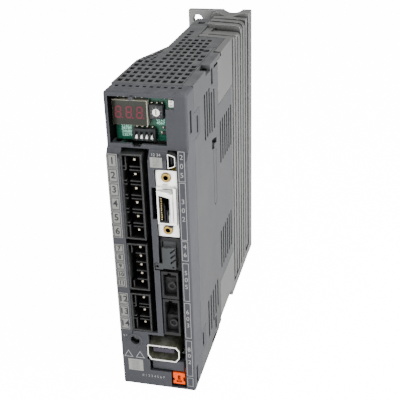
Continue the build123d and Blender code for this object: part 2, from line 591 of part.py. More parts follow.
with BuildPart() as io_shell:
    # flange with its two lugs
    prism(facing(1.4), [(24.0, 93.7), (34.6, 93.7), (34.6, 128.7), (24.0, 128.7)], -1.0)
    # raised shell round the port
    prism(facing(FACE - 0.2), [(24.4, 100.6), (33.8, 100.6), (33.8, 117.0), (24.4, 118.6)], -1.3)
    block((31.6, 32.6), (-1, FACE + 0.1), (103.0, 113.4), Mode.SUBTRACT)
    # bent latch plate over the shell
    prism(facing(0.0), [(26.4, 115.9), (31.4, 114.6), (31.4, 116.8), (26.4, 118.0)], -0.3)
    prism(facing(-1.0), IO_OUTLINE, -5, Mode.SUBTRACT)
    rod(facing(0), JACKS, 2.35, -5, Mode.SUBTRACT)
    # skirt that runs back to the control board
    block((24.4, 33.9), (2.3, 13.0), (100.4, 118.8))
    block((25.0, 33.3), (2.0, 13.5), (101.0, 118.2), Mode.SUBTRACT)
save(io_shell, "io_shell")

with BuildPart() as io_insert:
    prism(facing(0.8), [(25.3, 101.6), (30.1, 101.6), (30.1, 114.5), (25.3, 115.8)], -2.0)
    block((25.1, 33.2), (2.6, 12.8), (101.1, 118.1))
    block((25.9, 27.5), (0, 6.5), (102.2, 114.4), Mode.SUBTRACT)
    block((28.2, 29.6), (0, 6.5), (102.2, 114.4), Mode.SUBTRACT)
save(io_insert, "io_insert")

with BuildPart() as io_contacts:
    for z in IO_ROWS:
        block((27.1, 27.5), (1.2, 6.5), (z - 0.3, z + 0.3))
        block((28.2, 28.6), (1.2, 6.5), (z - 0.3, z + 0.3))
save(io_contacts, "io_contacts")

with BuildPart() as jack_screws:
    rod(facing(0.5), JACKS, 2.3, -6.0)
    rod(facing(0.0), JACKS, 1.15, -5.0, Mode.SUBTRACT)
    chamfer(jack_screws.faces().group_by(Axis.Y)[0].edges().filter_by(GeomType.CIRCLE)
            .group_by(SortBy.RADIUS)[-1], 0.3)
save(jack_screws, "jack_screws")

# ---------------------------------------------------------------- safety port and its plug

with BuildPart() as safety_port:
    block((24.1, 34.3), (2.4, 14.0), (74.4, 92.4))
    block((25.2, 32.4), (1.0, 12.5), (75.6, 90.4), Mode.SUBTRACT)
save(safety_port, "safety_port")

with BuildPart() as safety_plug:
    block((25.4, 32.2), (FACE, 12.0), (75.8, 87.4))
    block((25.4, 32.2), (3.0, 12.0), (87.0, 90.2))
    # finger ear over the cover's face, with an eyelet
    block((21.6, 25.6), (FACE, 1.5), (75.2, 78.6))
    rod(facing(0), [(22.7, 76.9)], 0.7, -3, Mode.SUBTRACT)
    # grip ribs on the right flank
    for i in range(3):
        z = 78.6 + 2.9 * i
        prism(facing(0), [(29.6, z), (32.4, z + 2.4), (32.4, z + 3.4), (29.6, z + 1.0)], -1.6,
              Mode.SUBTRACT)
    rod(facing(0), [(30.9, 76.9)], 0.45, -3, Mode.SUBTRACT)
save(safety_plug, "safety_plug")

# ---------------------------------------------------------------- optical ports

# letter, low and high z of the housing, height of the cap's knob
OPTICAL_PORTS = [("a", 58.4, 73.9, 65.8), ("b", 36.2, 57.8, 43.7)]
KNOB_X = 29.5

for letter, low, high, knob in OPTICAL_PORTS:
    with BuildPart() as port:
        block((24.3, 33.0), (0.6, 14.0), (low, high))
        block((25.3, 32.1), (0, 11.6), (low + 1.6, high - 1.6), Mode.SUBTRACT)
        block((27.4, 29.4), (0, 3.0), (high - 2.0, high - 0.7), Mode.SUBTRACT)
    save(port, f"optical_port_{letter}")

    with BuildPart() as cap:
        block((25.6, 31.8), (3.2, 11.2), (low + 1.9, knob + 3.4))
        rod(facing(1.0), [(KNOB_X, knob)], 2.1, -2.4)
        rod(facing(0.0), [(KNOB_X, knob)], 1.3, -2.2, Mode.SUBTRACT)
    save(cap, f"dust_cap_{letter}")

# ---------------------------------------------------------------- encoder connector

ENCODER_OUTLINE = [(15.0, 28.8), (30.3, 28.8), (32.0, 26.6), (32.0, 22.2), (30.0, 19.4),
                   (16.4, 19.4), (14.6, 22.0), (14.6, 28.4)]

with BuildPart() as encoder_shell:
    with BuildSketch(facing(0.0)) as rim:
        with BuildLine():
            Polyline(*ENCODER_OUTLINE, close=True)
        make_face()
        offset(amount=-0.55, kind=Kind.INTERSECTION, mode=Mode.SUBTRACT)
    extrude(rim.sketch, amount=-12)
    prism(facing(11.5), ENCODER_OUTLINE, -1.5)
save(encoder_shell, "encoder_shell")

with BuildPart() as encoder_insert:
    block((17.4, 28.8), (1.6, 11.5), (24.0, 26.4))
    for i in range(6):
        block((18.6 + 1.7 * i, 19.4 + 1.7 * i), (2.2, 11.5), (23.4, 24.0))
save(encoder_insert, "encoder_insert")

with BuildPart() as blank_panel:
    block((16.6, 33.9), (1.6, 3.2), (12.9, 19.0))
    block((20.0, 33.9), (3.2, 9.0), (17.4, 19.0))
save(blank_panel, "blank_panel")

with BuildPart() as battery_connector:
    block((27.6, 34.3), (1.0, 11.0), (4.9, 12.0))
    # latch window, side notches and the two contact openings
    block((29.4, 32.4), (0, 1.9), (6.0, 7.4), Mode.SUBTRACT)
    block((30.2, 31.7), (0, 2.4), (7.2, 10.4), Mode.SUBTRACT)
    block((33.3, 35.0), (0, 2.2), (7.0, 9.6), Mode.SUBTRACT)
    block((27.0, 28.4), (0, 2.2), (7.0, 8.4), Mode.SUBTRACT)
save(battery_connector, "battery_connector")

# ---------------------------------------------------------------- labels and lamp

with BuildPart() as terminal_labels:
    for name, ways, pitch, middle in HEADERS:
        for z in way_heights(ways, pitch, middle):
            block((0.9, 5.9), (0.1, FACE), (z - pitch / 2 + 0.15, z + pitch / 2 - 0.15))
save(terminal_labels, "terminal_labels")

with BuildPart() as blank_stickers:
    block((3.5, 11.6), (0.1, FACE), (11.2, 18.4))
    block((22.1, 28.0), (0.1, FACE), (130.4, 135.5))
save(blank_stickers, "blank_stickers")

with BuildPart() as charge_lamp:
    rod(facing(2.6), [(8.0, 30.4)], 2.4, -7.4)
    fillet(charge_lamp.faces().sort_by(Axis.Y)[0].edges(), radius=1.0)
    rod(facing(10.0), [(8.0, 30.4)], 2.8, -1.0)
    for z in (29.2, 31.6):
        block((7.7, 8.3), (11.0, 15.0), (z - 0.3, z + 0.3))
save(charge_lamp, "charge_lamp")

# ---------------------------------------------------------------- power section

BOARD_FACE = POWER_BOARD_X + BOARD

with BuildPart() as power_module:
    block((14.6, 19.5), (82.5, 129.5), (63.0, 89.0))
    rod(beside(14), MODULE_SCREWS, 1.7, 8, Mode.SUBTRACT)
save(power_module, "power_module")

with BuildPart() as module_pins:
    for y, z in MODULE_PINS:
        inner = 63.0 if z < 76 else 89.0
        block((16.0, 16.8), (y - 0.35, y + 0.35), sorted((z, inner)))
        block((POWER_BOARD_X - 0.6, 16.8), (y - 0.35, y + 0.35), (z - 0.35, z + 0.35))
    for y, z in RECTIFIER_PINS:
        block((16.0, 16.8), (y - 0.35, y + 0.35), (z, 104.0))
        block((POWER_BOARD_X - 0.6, 16.8), (y - 0.35, y + 0.35), (z - 0.35, z + 0.35))
save(module_pins, "module_pins")

with BuildPart() as rectifier:
    block((15.0, 19.5), (91.0, 120.0), (104.0, 124.0))
save(rectifier, "rectifier")

with BuildPart() as thermal_pads:
    block((19.5, CORE_LEFT), (82.5, 129.5), (63.0, 89.0))
    block((19.5, CORE_LEFT), (91.0, 120.0), (104.0, 124.0))
    rod(beside(19), MODULE_SCREWS, 1.7, 3, Mode.SUBTRACT)
save(thermal_pads, "thermal_pads")

with BuildPart() as module_screws:
    rod(beside(12.4), MODULE_SCREWS, 2.7, 2.2)
    rod(beside(14.0), MODULE_SCREWS, 1.25, 9.8)
    rod(beside(12.0), MODULE_SCREWS, 0.9, 1.6, Mode.SUBTRACT)
save(module_screws, "module_screws")

with BuildPart() as bus_capacitors:
    rod(beside(BOARD_FACE), [(46, 62), (46, 86)], 11.0, 26)
    fillet(bus_capacitors.faces().group_by(Axis.X)[-1].edges(), radius=1.2)
save(bus_capacitors, "bus_capacitors")

with BuildPart() as transformer_core:
    block((10.0, 22.0), (30.0, 54.0), (104.0, 124.0))
    block((9, 23), (34.0, 39.0), (109.0, 119.0), Mode.SUBTRACT)
    block((9, 23), (45.0, 50.0), (109.0, 119.0), Mode.SUBTRACT)
save(transformer_core, "transformer_core")

with BuildPart() as transformer_coil:
    block((BOARD_FACE, 26.0), (34.3, 49.7), (109.2, 118.8))
    block((9.9, 22.1), (39.0, 45.0), (108, 120), Mode.SUBTRACT)
save(transformer_coil, "transformer_coil")

with BuildPart() as inrush_relay:
    block((BOARD_FACE, 22.0), (24.0, 36.0), (30.0, 50.0))
    fillet(inrush_relay.edges().filter_by(Axis.X), radius=0.8)
save(inrush_relay, "inrush_relay")

with BuildPart() as line_choke:
    rod(beside(BOARD_FACE), [(48, 20)], 10.0, 11)
    rod(beside(BOARD_FACE - 1), [(48, 20)], 4.5, 13, Mode.SUBTRACT)
save(line_choke, "line_choke")

with BuildPart() as film_capacitors:
    block((BOARD_FACE, 17.0), (70.0, 76.0), (20.0, 38.0))
    block((BOARD_FACE, 17.0), (80.0, 86.0), (20.0, 38.0))
save(film_capacitors, "film_capacitors")

# ---------------------------------------------------------------- links and chips

with BuildPart() as board_link:
    block((BOARD_FACE, 14.0), (58.5, 63.5), (26.0, 46.0))
    block((26.0, CONTROL_BOARD_X), (58.5, 63.5), (26.0, 46.0))
    for i in range(7):
        for y in (59.9, 62.1):
            z = 28.4 + 2.54 * i
            block((13.5, 26.5), (y - 0.32, y + 0.32), (z - 0.32, z + 0.32))
save(board_link, "board_link")

with BuildPart() as display_link:
    block((29.6, CONTROL_BOARD_X), (DISPLAY_BOARD_Y + 1.2, 18.0), (144.0, 156.0))
save(display_link, "display_link")

with BuildPart() as main_processor:
    block((33.0, CONTROL_BOARD_X), (34.0, 50.0), (96.0, 112.0))
save(main_processor, "main_processor")

with BuildPart() as logic_chips:
    for y, z, wide, high in [(26, 72, 8, 12), (26, 52, 8, 10), (50, 138, 10, 6), (34, 138, 6, 8),
                             (52, 56, 6, 10)]:
        block((33.3, CONTROL_BOARD_X), (y - wide / 2, y + wide / 2), (z - high / 2, z + high / 2))
save(logic_chips, "logic_chips")

# ---------------------------------------------------------------- fasteners

with BuildPart() as board_standoffs:
    rod(beside(BOARD_FACE), STANDOFFS, 2.5, CONTROL_BOARD_X - BOARD_FACE)
    rod(beside(BOARD_FACE), STANDOFFS, 1.3, CONTROL_BOARD_X - BOARD_FACE, Mode.SUBTRACT)
save(board_standoffs, "board_standoffs")

with BuildPart() as board_screws:
    rod(beside(BOARD_FACE), POSTS, 2.6, 1.6)
    rod(beside(WALL + 0.2), POSTS, 1.25, BOARD_FACE - WALL)
    rod(beside(BOARD_FACE + 0.8), POSTS, 0.8, 2, Mode.SUBTRACT)
    rod(beside(CONTROL_BOARD_X + BOARD), STANDOFFS, 2.6, 1.2)
    rod(beside(CONTROL_BOARD_X - 4), STANDOFFS, 1.25, BOARD + 4)
save(board_screws, "board_screws")

with BuildPart() as earth_screws:
    rod(level(2.4), EARTH_SCREWS, 3.4, 2.6)
    rod(level(5.0), EARTH_SCREWS, 4.0, 1.3)
    rod(level(5.0), EARTH_SCREWS, 1.65, 9.0)
    for x, y in EARTH_SCREWS:
        block((x - 2.4, x + 2.4), (y - 0.4, y + 0.4), (2, 3.6), Mode.SUBTRACT)
        block((x - 0.4, x + 0.4), (y - 2.4, y + 2.4), (2, 3.6), Mode.SUBTRACT)
save(earth_screws, "earth_screws")
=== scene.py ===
"""Looks of a narrow servo drive, dressed over its packed frame.

Each sub-assembly is a class: its fields hold sizes and its methods model the pieces and
dress them. Places are given in millimetres from the drive's left side, front face and
bottom edge, as they would be measured on a bench, and at() turns them into the frame.
"""

import json
import logging
import math
from dataclasses import dataclass
from enum import Enum
from typing import Callable, Dict, Optional, Sequence, Set, Tuple, Union

import bpy
from mathutils import Euler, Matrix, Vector


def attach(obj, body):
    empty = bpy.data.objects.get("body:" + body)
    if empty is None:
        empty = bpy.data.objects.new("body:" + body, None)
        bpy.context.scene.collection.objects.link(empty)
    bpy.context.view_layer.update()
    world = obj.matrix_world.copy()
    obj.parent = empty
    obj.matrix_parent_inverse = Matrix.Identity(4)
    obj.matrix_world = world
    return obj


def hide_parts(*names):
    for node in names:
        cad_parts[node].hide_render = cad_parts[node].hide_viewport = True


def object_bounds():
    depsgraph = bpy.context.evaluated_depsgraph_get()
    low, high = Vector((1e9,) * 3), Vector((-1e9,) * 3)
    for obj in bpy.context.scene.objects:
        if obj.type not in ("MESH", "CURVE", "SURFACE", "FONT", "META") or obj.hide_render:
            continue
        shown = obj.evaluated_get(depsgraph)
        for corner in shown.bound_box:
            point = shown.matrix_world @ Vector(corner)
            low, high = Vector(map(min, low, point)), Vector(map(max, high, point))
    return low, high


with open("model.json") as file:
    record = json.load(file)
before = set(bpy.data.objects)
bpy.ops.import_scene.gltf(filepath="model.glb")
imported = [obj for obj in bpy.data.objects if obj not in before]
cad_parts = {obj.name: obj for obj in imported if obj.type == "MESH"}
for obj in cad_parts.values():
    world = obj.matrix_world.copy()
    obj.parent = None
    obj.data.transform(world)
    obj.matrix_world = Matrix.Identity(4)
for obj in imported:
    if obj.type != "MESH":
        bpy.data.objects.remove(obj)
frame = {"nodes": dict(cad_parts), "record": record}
CAD_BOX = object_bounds()

LOG = logging.getLogger("servo_drive")
# Share of a finish's colour kept in its painted shade, deep in gaps and holes.
PAINTED_SHADE_SHARE = 0.10
MM = 0.001
HOUSING = "housing"
DRESSED: Set[str] = set()

Colour = Tuple[float, float, float]
Place = Tuple[float, float, float]
Span = Tuple[float, float]
Block = Tuple[Span, Span, Span]
Piece = bpy.types.Object
Socket = bpy.types.NodeSocket
FaceTest = Callable[[bpy.types.MeshPolygon], bool]
Given = bpy.types.bpy_prop_collection
Wire = Callable[["Wiring", Given], Tuple[Socket, ...]]
Mask = Callable[["Wiring", Given], Socket]


def at(x: float, y: float, z: float) -> Vector:
    """Turn millimetres from the left, front and bottom into a point of the frame."""
    return CAD_BOX[0] + Vector((x, y, z)) * MM


class Side(Enum):
    """The side of a piece that an operation works on, as its outward direction."""

    FRONT = (0, -1, 0)
    REAR = (0, 1, 0)
    LEFT = (-1, 0, 0)
    RIGHT = (1, 0, 0)
    TOP = (0, 0, 1)
    BOTTOM = (0, 0, -1)

    def meets(self, face: bpy.types.MeshPolygon) -> bool:
        """Tell whether a face looks this way."""
        return face.normal.dot(Vector(self.value)) > 0.99


# ------------------------------------------------------------------ bench operations


def deselect_all() -> None:
    """Go to object mode and leave nothing selected."""
    if bpy.context.object and bpy.context.object.mode != "OBJECT":
        bpy.ops.object.mode_set(mode="OBJECT")
    bpy.ops.object.select_all(action="DESELECT")


def take(*pieces: Piece) -> None:
    """Select just these pieces and make the first one active."""
    deselect_all()
    for piece in pieces:
        piece.select_set(True)
    bpy.context.view_layer.objects.active = pieces[0]


def settle(piece: Piece) -> Piece:
    """Move a piece's place, turn and size into its mesh."""
    take(piece)
    bpy.ops.object.transform_apply(location=True, rotation=True, scale=True)
    return piece


def add_box(name: str, x: Span, y: Span, z: Span) -> Piece:
    """Add a box primitive.

    Args:
        name: The piece's name.
        x: Its left and right in millimetres.
        y: Its front and rear.
        z: Its bottom and top.

    Returns:
        The box, with its place in its mesh.
    """
    low, high = at(x[0], y[0], z[0]), at(x[1], y[1], z[1])
    deselect_all()
    bpy.ops.mesh.primitive_cube_add(size=1.0, location=(low + high) / 2, scale=high - low)
    bpy.context.object.name = name
    return settle(bpy.context.object)


def add_round(name: str, centre: Place, radius: float, depth: float, side: Side = Side.FRONT,
              corners: int = 32) -> Piece:
    """Add a round bar primitive.

    Args:
        name: The piece's name.
        centre: The middle of its outer end, in millimetres.
        radius: Its radius in millimetres.
        depth: How far it runs back from that end.
        side: The way the outer end looks.
        corners: The number of its corners.

    Returns:
        The bar, with its place in its mesh.
    """
    direction = Vector(side.value)
    deselect_all()
    bpy.ops.mesh.primitive_cylinder_add(
        vertices=corners, radius=radius * MM, depth=depth * MM,
        location=at(*centre) - direction * depth * MM / 2,
        rotation=direction.to_track_quat("Z", "Y").to_euler())
    bpy.context.object.name = name
    return settle(bpy.context.object)


def enter_edit(piece: Piece, kind: str = "FACE", action: str = "SELECT") -> None:
    """Go to edit mode for faces or points, with all or none of them selected."""
    take(piece)
    bpy.ops.object.mode_set(mode="EDIT")
    bpy.ops.mesh.select_mode(type=kind)
    bpy.ops.mesh.select_all(action=action)


def edit_faces(piece: Piece, test: FaceTest) -> None:
    """Go to edit mode with just the faces that pass the test selected."""
    enter_edit(piece, action="DESELECT")
    leave_edit()
    for face in piece.data.polygons:
        face.select = test(face)
    bpy.ops.object.mode_set(mode="EDIT")


def leave_edit() -> None:
    """Go back to object mode."""
    bpy.ops.object.mode_set(mode="OBJECT")


def sink_side(piece: Piece, side: Side, rim: float, depth: float) -> None:
    """Press a side of a piece inwards inside a rim, or raise it with a negative depth.

    Args:
        piece: The piece to shape.
        side: The side that is pressed in.
        rim: Width of the rim left standing, in millimetres.
        depth: How far the middle goes in, in millimetres.
    """
    edit_faces(piece, side.meets)
    bpy.ops.mesh.inset(thickness=rim * MM, depth=0)
    bpy.ops.mesh.extrude_region_move(
        TRANSFORM_OT_translate={"value": Vector(side.value) * -depth * MM})
    leave_edit()


def draw_out(piece: Piece, side: Side, out: float, narrow: Place) -> None:
    """Draw a side of a piece out and scale its end, which makes a taper or a dome.

    Args:
        piece: The piece to shape.
        side: The side that is drawn out.
        out: How far it goes, in millimetres.
        narrow: Scale of the end face along x, y and z.
    """
    way = Vector(side.value)
    ends = [face.center.copy() for face in piece.data.polygons if side.meets(face)]
    centre = sum(ends, Vector()) / len(ends) + way * out * MM
    edit_faces(piece, side.meets)
    bpy.ops.mesh.extrude_region_move(TRANSFORM_OT_translate={"value": way * out * MM})
    bpy.ops.transform.resize(value=narrow, center_override=centre)
    leave_edit()


def turn_about(piece: Piece, centre: Place, degrees: float) -> Piece:
    """Turn a piece about the front's normal through a point, inside its mesh."""
    enter_edit(piece)
    bpy.ops.transform.rotate(value=math.radians(degrees), orient_axis="Y",
                             center_override=at(*centre))
    leave_edit()
    return piece


def open_through(piece: Piece, side: Side, rim: float) -> None:
    """Cut a window through a thin box, leaving a frame.

    Args:
        piece: The box to open.
        side: The side that the window opens on.
        rim: Width of the frame in millimetres.
    """
    way = Vector(side.value)
    edit_faces(piece, lambda face: abs(face.normal.dot(way)) > 0.99)
    bpy.ops.mesh.inset(thickness=rim * MM, depth=0)
    bpy.ops.mesh.bridge_edge_loops()
    leave_edit()


def round_edges(piece: Piece, width: float, segments: int = 2, angle: float = 30.0) -> Piece:
    """Round the sharp edges of a piece and shade it smoothly.

    Args:
        piece: The piece to finish.
        width: Width of the rounding in millimetres.
        segments: Number of strips in the rounding.
        angle: Edges sharper than this, in degrees, are rounded.

    Returns:
        The same piece.
    """
    take(piece)
    rounding = piece.modifiers.new("rounding", "BEVEL")
    rounding.width = width * MM
    rounding.segments = segments
    rounding.limit_method = "ANGLE"
    rounding.angle_limit = math.radians(angle)
    rounding.miter_outer = "MITER_ARC"
    rounding.use_clamp_overlap = False
    bpy.ops.object.modifier_apply(modifier=rounding.name)
    bpy.ops.object.shade_smooth_by_angle(angle=math.radians(40))
    return piece


def clean(piece: Piece) -> Piece:
    """Merge doubled points and turn every face outwards."""
    enter_edit(piece)
    bpy.ops.mesh.remove_doubles(threshold=1e-6)
    bpy.ops.mesh.normals_make_consistent(inside=False)
    leave_edit()
    return piece


def copy_to(piece: Piece, name: str, shift: Place) -> Piece:
    """Copy a piece with its own mesh, moved by millimetres inside the mesh.

    Args:
        piece: The piece to copy.
        name: The copy's name.
        shift: How far the copy stands from it, in millimetres.

    Returns:
        The copy.
    """
    take(piece)
    bpy.ops.object.duplicate(linked=False)
    twin = bpy.context.object
    twin.name = name
    enter_edit(twin)
    bpy.ops.transform.translate(value=Vector(shift) * MM)
    leave_edit()
    return twin


def join(pieces: Sequence[Piece], name: str) -> Piece:
    """Join pieces of one kind into one object."""
    take(*pieces)
    if len(pieces) > 1:
        bpy.ops.object.join()
    bpy.context.object.name = name
    return bpy.context.object


def repeat(first: Piece, name: str, shifts: Sequence[Place]) -> Piece:
    """Join a piece with its copies, one at each shift in millimetres."""
    twins = [copy_to(first, f"{name}_{i}", shift) for i, shift in enumerate(shifts, 1)]
    return join([first, *twins], name)


def figures(name: str, text: str, height: float, centre: Place, thick: float,
            turn: float = 0.0, bold: float = 0.0) -> Piece:
    """Make raised figures that face the front.

    Args:
        name: The piece's name.
        text: The figures.
        height: Their height in millimetres.
        centre: Their middle, on the surface that they stand on.
        thick: How far they stand out of it, in millimetres.
        turn: Their turn about the front's normal in degrees.
        bold: How far their strokes are thickened, in millimetres.

    Returns:
        The figures as a closed mesh.
    """
    deselect_all()
    bpy.ops.object.text_add(location=(0, 0, 0))
    piece = bpy.context.object
    piece.data.body = text
    piece.data.size = height * MM * 1.4
    piece.data.extrude = thick * MM / 2
    piece.data.offset = bold * MM
    piece.data.align_x, piece.data.align_y = "CENTER", "CENTER"
    piece.data.resolution_u = 3
    bpy.ops.object.convert(target="MESH")
    piece = bpy.context.object
    piece.name = name
    piece.rotation_euler = Euler((math.pi / 2, math.radians(turn), 0))
    piece.location = at(*centre) - Vector((0, thick * MM / 2, 0))
    settle(piece)
    return clean(piece)


def text_rows(name: str, blocks: Sequence[Tuple[float, float, Sequence[str]]], y: float,
              height: float, step: float, thick: float, bold: float = 0.0) -> Piece:
    """Print blocks of figures, each as rows one below the other.

    Args:
        name: The name of the joined piece.
        blocks: Middle x, the top row's z and the rows of each block.
        y: The surface that they stand on.
        height: Height of the figures in millimetres.
        step: Distance from row to row.
        thick: How far they stand out.
        bold: How far their strokes are thickened.

    Returns:
        All the rows as one piece.
    """
    return join([figures(f"{name}_{x}_{i}", row, height, (x, y, z - i * step), thick, bold=bold)
                 for x, z, rows in blocks for i, row in enumerate(rows)], name)


# ------------------------------------------------------------------ shader wiring


class Wiring:
    """Adds and joins the nodes of one material or node group."""

    def __init__(self, tree: bpy.types.NodeTree) -> None:
        """Start on an empty tree."""
        self.tree = tree

    def add(self, kind: str, sockets: Optional[Dict[Union[str, int], object]] = None,
            **settings: object) -> bpy.types.Node:
        """Add a node.

        Args:
            kind: The node's type, without its ShaderNode prefix.
            sockets: Values or sockets for its inputs, by name or number.
            settings: Its own properties.

        Returns:
            The node.
        """
        node = self.tree.nodes.new(f"ShaderNode{kind}")
        for key, value in settings.items():
            setattr(node, key, value)
        for key, value in (sockets or {}).items():
            if isinstance(value, bpy.types.NodeSocket):
                self.tree.links.new(value, node.inputs[key])
            else:
                node.inputs[key].default_value = value
        return node

    def math(self, operation: str, a: object, b: object = 0.0, clamp: bool = False) -> Socket:
        """Combine two values with one Math node."""
        return self.add("Math", {0: a, 1: b}, operation=operation, use_clamp=clamp).outputs[0]

    def blend(self, share: object, a: object, b: object, mode: str = "MIX") -> Socket:
        """Mix two colours by a share of the second."""
        node = self.add("Mix", {"Factor": share, 6: a, 7: b}, data_type="RGBA", blend_type=mode)
        return node.outputs[2]

    def fit(self, value: Socket, source: Span, target: Span = (0.0, 1.0)) -> Socket:
        """Map a value from one range to another, smoothly and clamped."""
        node = self.add("MapRange", {"Value": value, "From Min": source[0], "From Max": source[1],
                                     "To Min": target[0], "To Max": target[1]},
                        interpolation_type="SMOOTHSTEP")
        return node.outputs[0]

    def place(self) -> Socket:
        """The point on the piece, in its own coordinates."""
        return self.add("TexCoord").outputs["Object"]

    def noise(self, scale: object, detail: float = 3.0, roughness: float = 0.5,
              stretch: Place = (1.0, 1.0, 1.0)) -> Socket:
        """Cloudy noise over the piece, from 0 to 1.

        Args:
            scale: How fine it is, in waves per metre.
            detail: Its number of finer layers.
            roughness: How strong those layers are.
            stretch: Scale along each axis, so that it can be drawn out into streaks.

        Returns:
            The noise value.
        """
        spot = self.add("Mapping", {"Vector": self.place(), "Scale": stretch}).outputs[0]
        node = self.add("TexNoise", {"Vector": spot, "Scale": scale, "Detail": detail,
                                     "Roughness": roughness})
        return node.outputs[0]


class Effects:
    """Shared surface effects, each a node group that is built once."""

    @staticmethod
    def group(name: str, inputs: Dict[str, object], outputs: Sequence[str],
              wire: Wire) -> bpy.types.NodeTree:
        """Build a node group, or return it if it is there already.

        Args:
            name: The group's name.
            inputs: Default value of each input, four numbers for a colour.
            outputs: Names of the outputs, in the order that wire returns them.
            wire: Adds the nodes between the inputs and the outputs.

        Returns:
            The group.
        """
        if name in bpy.data.node_groups:
            return bpy.data.node_groups[name]
        tree = bpy.data.node_groups.new(name, "ShaderNodeTree")
        for key, value in inputs.items():
            kind = "NodeSocketColor" if isinstance(value, tuple) else "NodeSocketFloat"
            socket = tree.interface.new_socket(key, in_out="INPUT", socket_type=kind)
            socket.default_value = value
        for key in outputs:
            kind = "NodeSocketColor" if key == "Colour" else "NodeSocketFloat"
            tree.interface.new_socket(key, in_out="OUTPUT", socket_type=kind)
        given = tree.nodes.new("NodeGroupInput").outputs
        found = wire(Wiring(tree), given)
        result = tree.nodes.new("NodeGroupOutput")
        for key, socket in zip(outputs, found):
            tree.links.new(socket, result.inputs[key])
        return tree

    @classmethod
    def tint(cls, name: str, inputs: Dict[str, object], mask: Mask) -> bpy.types.NodeTree:
        """Build a node group that lays a second colour over the first where a mask says."""
        def wire(wiring: Wiring, given: Given) -> Tuple[Socket, ...]:
            share = wiring.math("MULTIPLY", mask(wiring, given), given["Amount"], clamp=True)
            return wiring.blend(share, given["Colour"], given["Tint"]), share
        return cls.group(name, {"Colour": (0.5, 0.5, 0.5, 1), **inputs}, ("Colour", "Mask"), wire)

    @classmethod
    def edge_wear(cls) -> bpy.types.NodeTree:
        """Lightens the corners that hands and other things rub against, and paints a highlight
        along the headers' rims.
        """
        def corners(wiring: Wiring, given: Given) -> Socket:
            rounded = wiring.add("Bevel", {"Radius": given["Width"]}, samples=6).outputs[0]
            flat = wiring.add("NewGeometry").outputs["Normal"]
            same = wiring.add("VectorMath", {0: rounded, 1: flat}, operation="DOT_PRODUCT")
            corner = wiring.fit(same.outputs["Value"], (0.995, 0.86))
            patchy = wiring.fit(wiring.noise(420, 4), (0.36, 0.62))
            return wiring.math("MULTIPLY", corner, wiring.math("ADD", patchy, 0.35), clamp=True)
        return cls.tint("edge_wear", {"Tint": (0.8, 0.8, 0.8, 1), "Width": 0.0004,
                                      "Amount": 0.5}, corners)

    @classmethod
    def fine_grain(cls) -> bpy.types.NodeTree:
        """Fine spark-eroded grain of a moulding, with slow changes over the surface."""
        def wire(wiring: Wiring, given: Given) -> Tuple[Socket, ...]:
            grain = wiring.noise(given["Scale"], 2, 0.7)
            cloud = wiring.noise(34, 3)
            height = wiring.math("MULTIPLY", grain, given["Contrast"])
            return height, wiring.math("ADD", wiring.math("MULTIPLY", grain, 0.35),
                                       wiring.math("MULTIPLY", cloud, 0.65))
        return cls.group("fine_grain", {"Scale": 2600.0, "Contrast": 0.5}, ("Height", "Shade"),
                         wire)

    @classmethod
    def cavity_shade(cls) -> bpy.types.NodeTree:
        """Painted shade: darkens the colour deep in gaps and holes, where shade falls."""
        def depths(wiring: Wiring, given: Given) -> Socket:
            openness = wiring.add("AmbientOcclusion", {"Distance": given["Reach"]}, samples=8)
            return wiring.fit(openness.outputs["AO"], (0.86, 0.34))
        return cls.tint("cavity_shade", {"Tint": (0.01, 0.01, 0.01, 1), "Reach": 0.004,
                                         "Amount": 0.8}, depths)

    @classmethod
    def settled_dust(cls) -> bpy.types.NodeTree:
        """Thin dust on what faces up, in soft patches."""
        def lying(wiring: Wiring, given: Given) -> Socket:
            facing = wiring.add("SeparateXYZ", {0: wiring.add("NewGeometry").outputs["Normal"]})
            upward = wiring.fit(facing.outputs["Z"], (0.4, 0.95))
            patches = wiring.fit(wiring.noise(150, 5, 0.65), (0.4, 0.7))
            return wiring.math("MULTIPLY", upward, patches)
        return cls.tint("settled_dust", {"Tint": (0.55, 0.54, 0.52, 1), "Amount": 0.2}, lying)


# ------------------------------------------------------------------ finishes


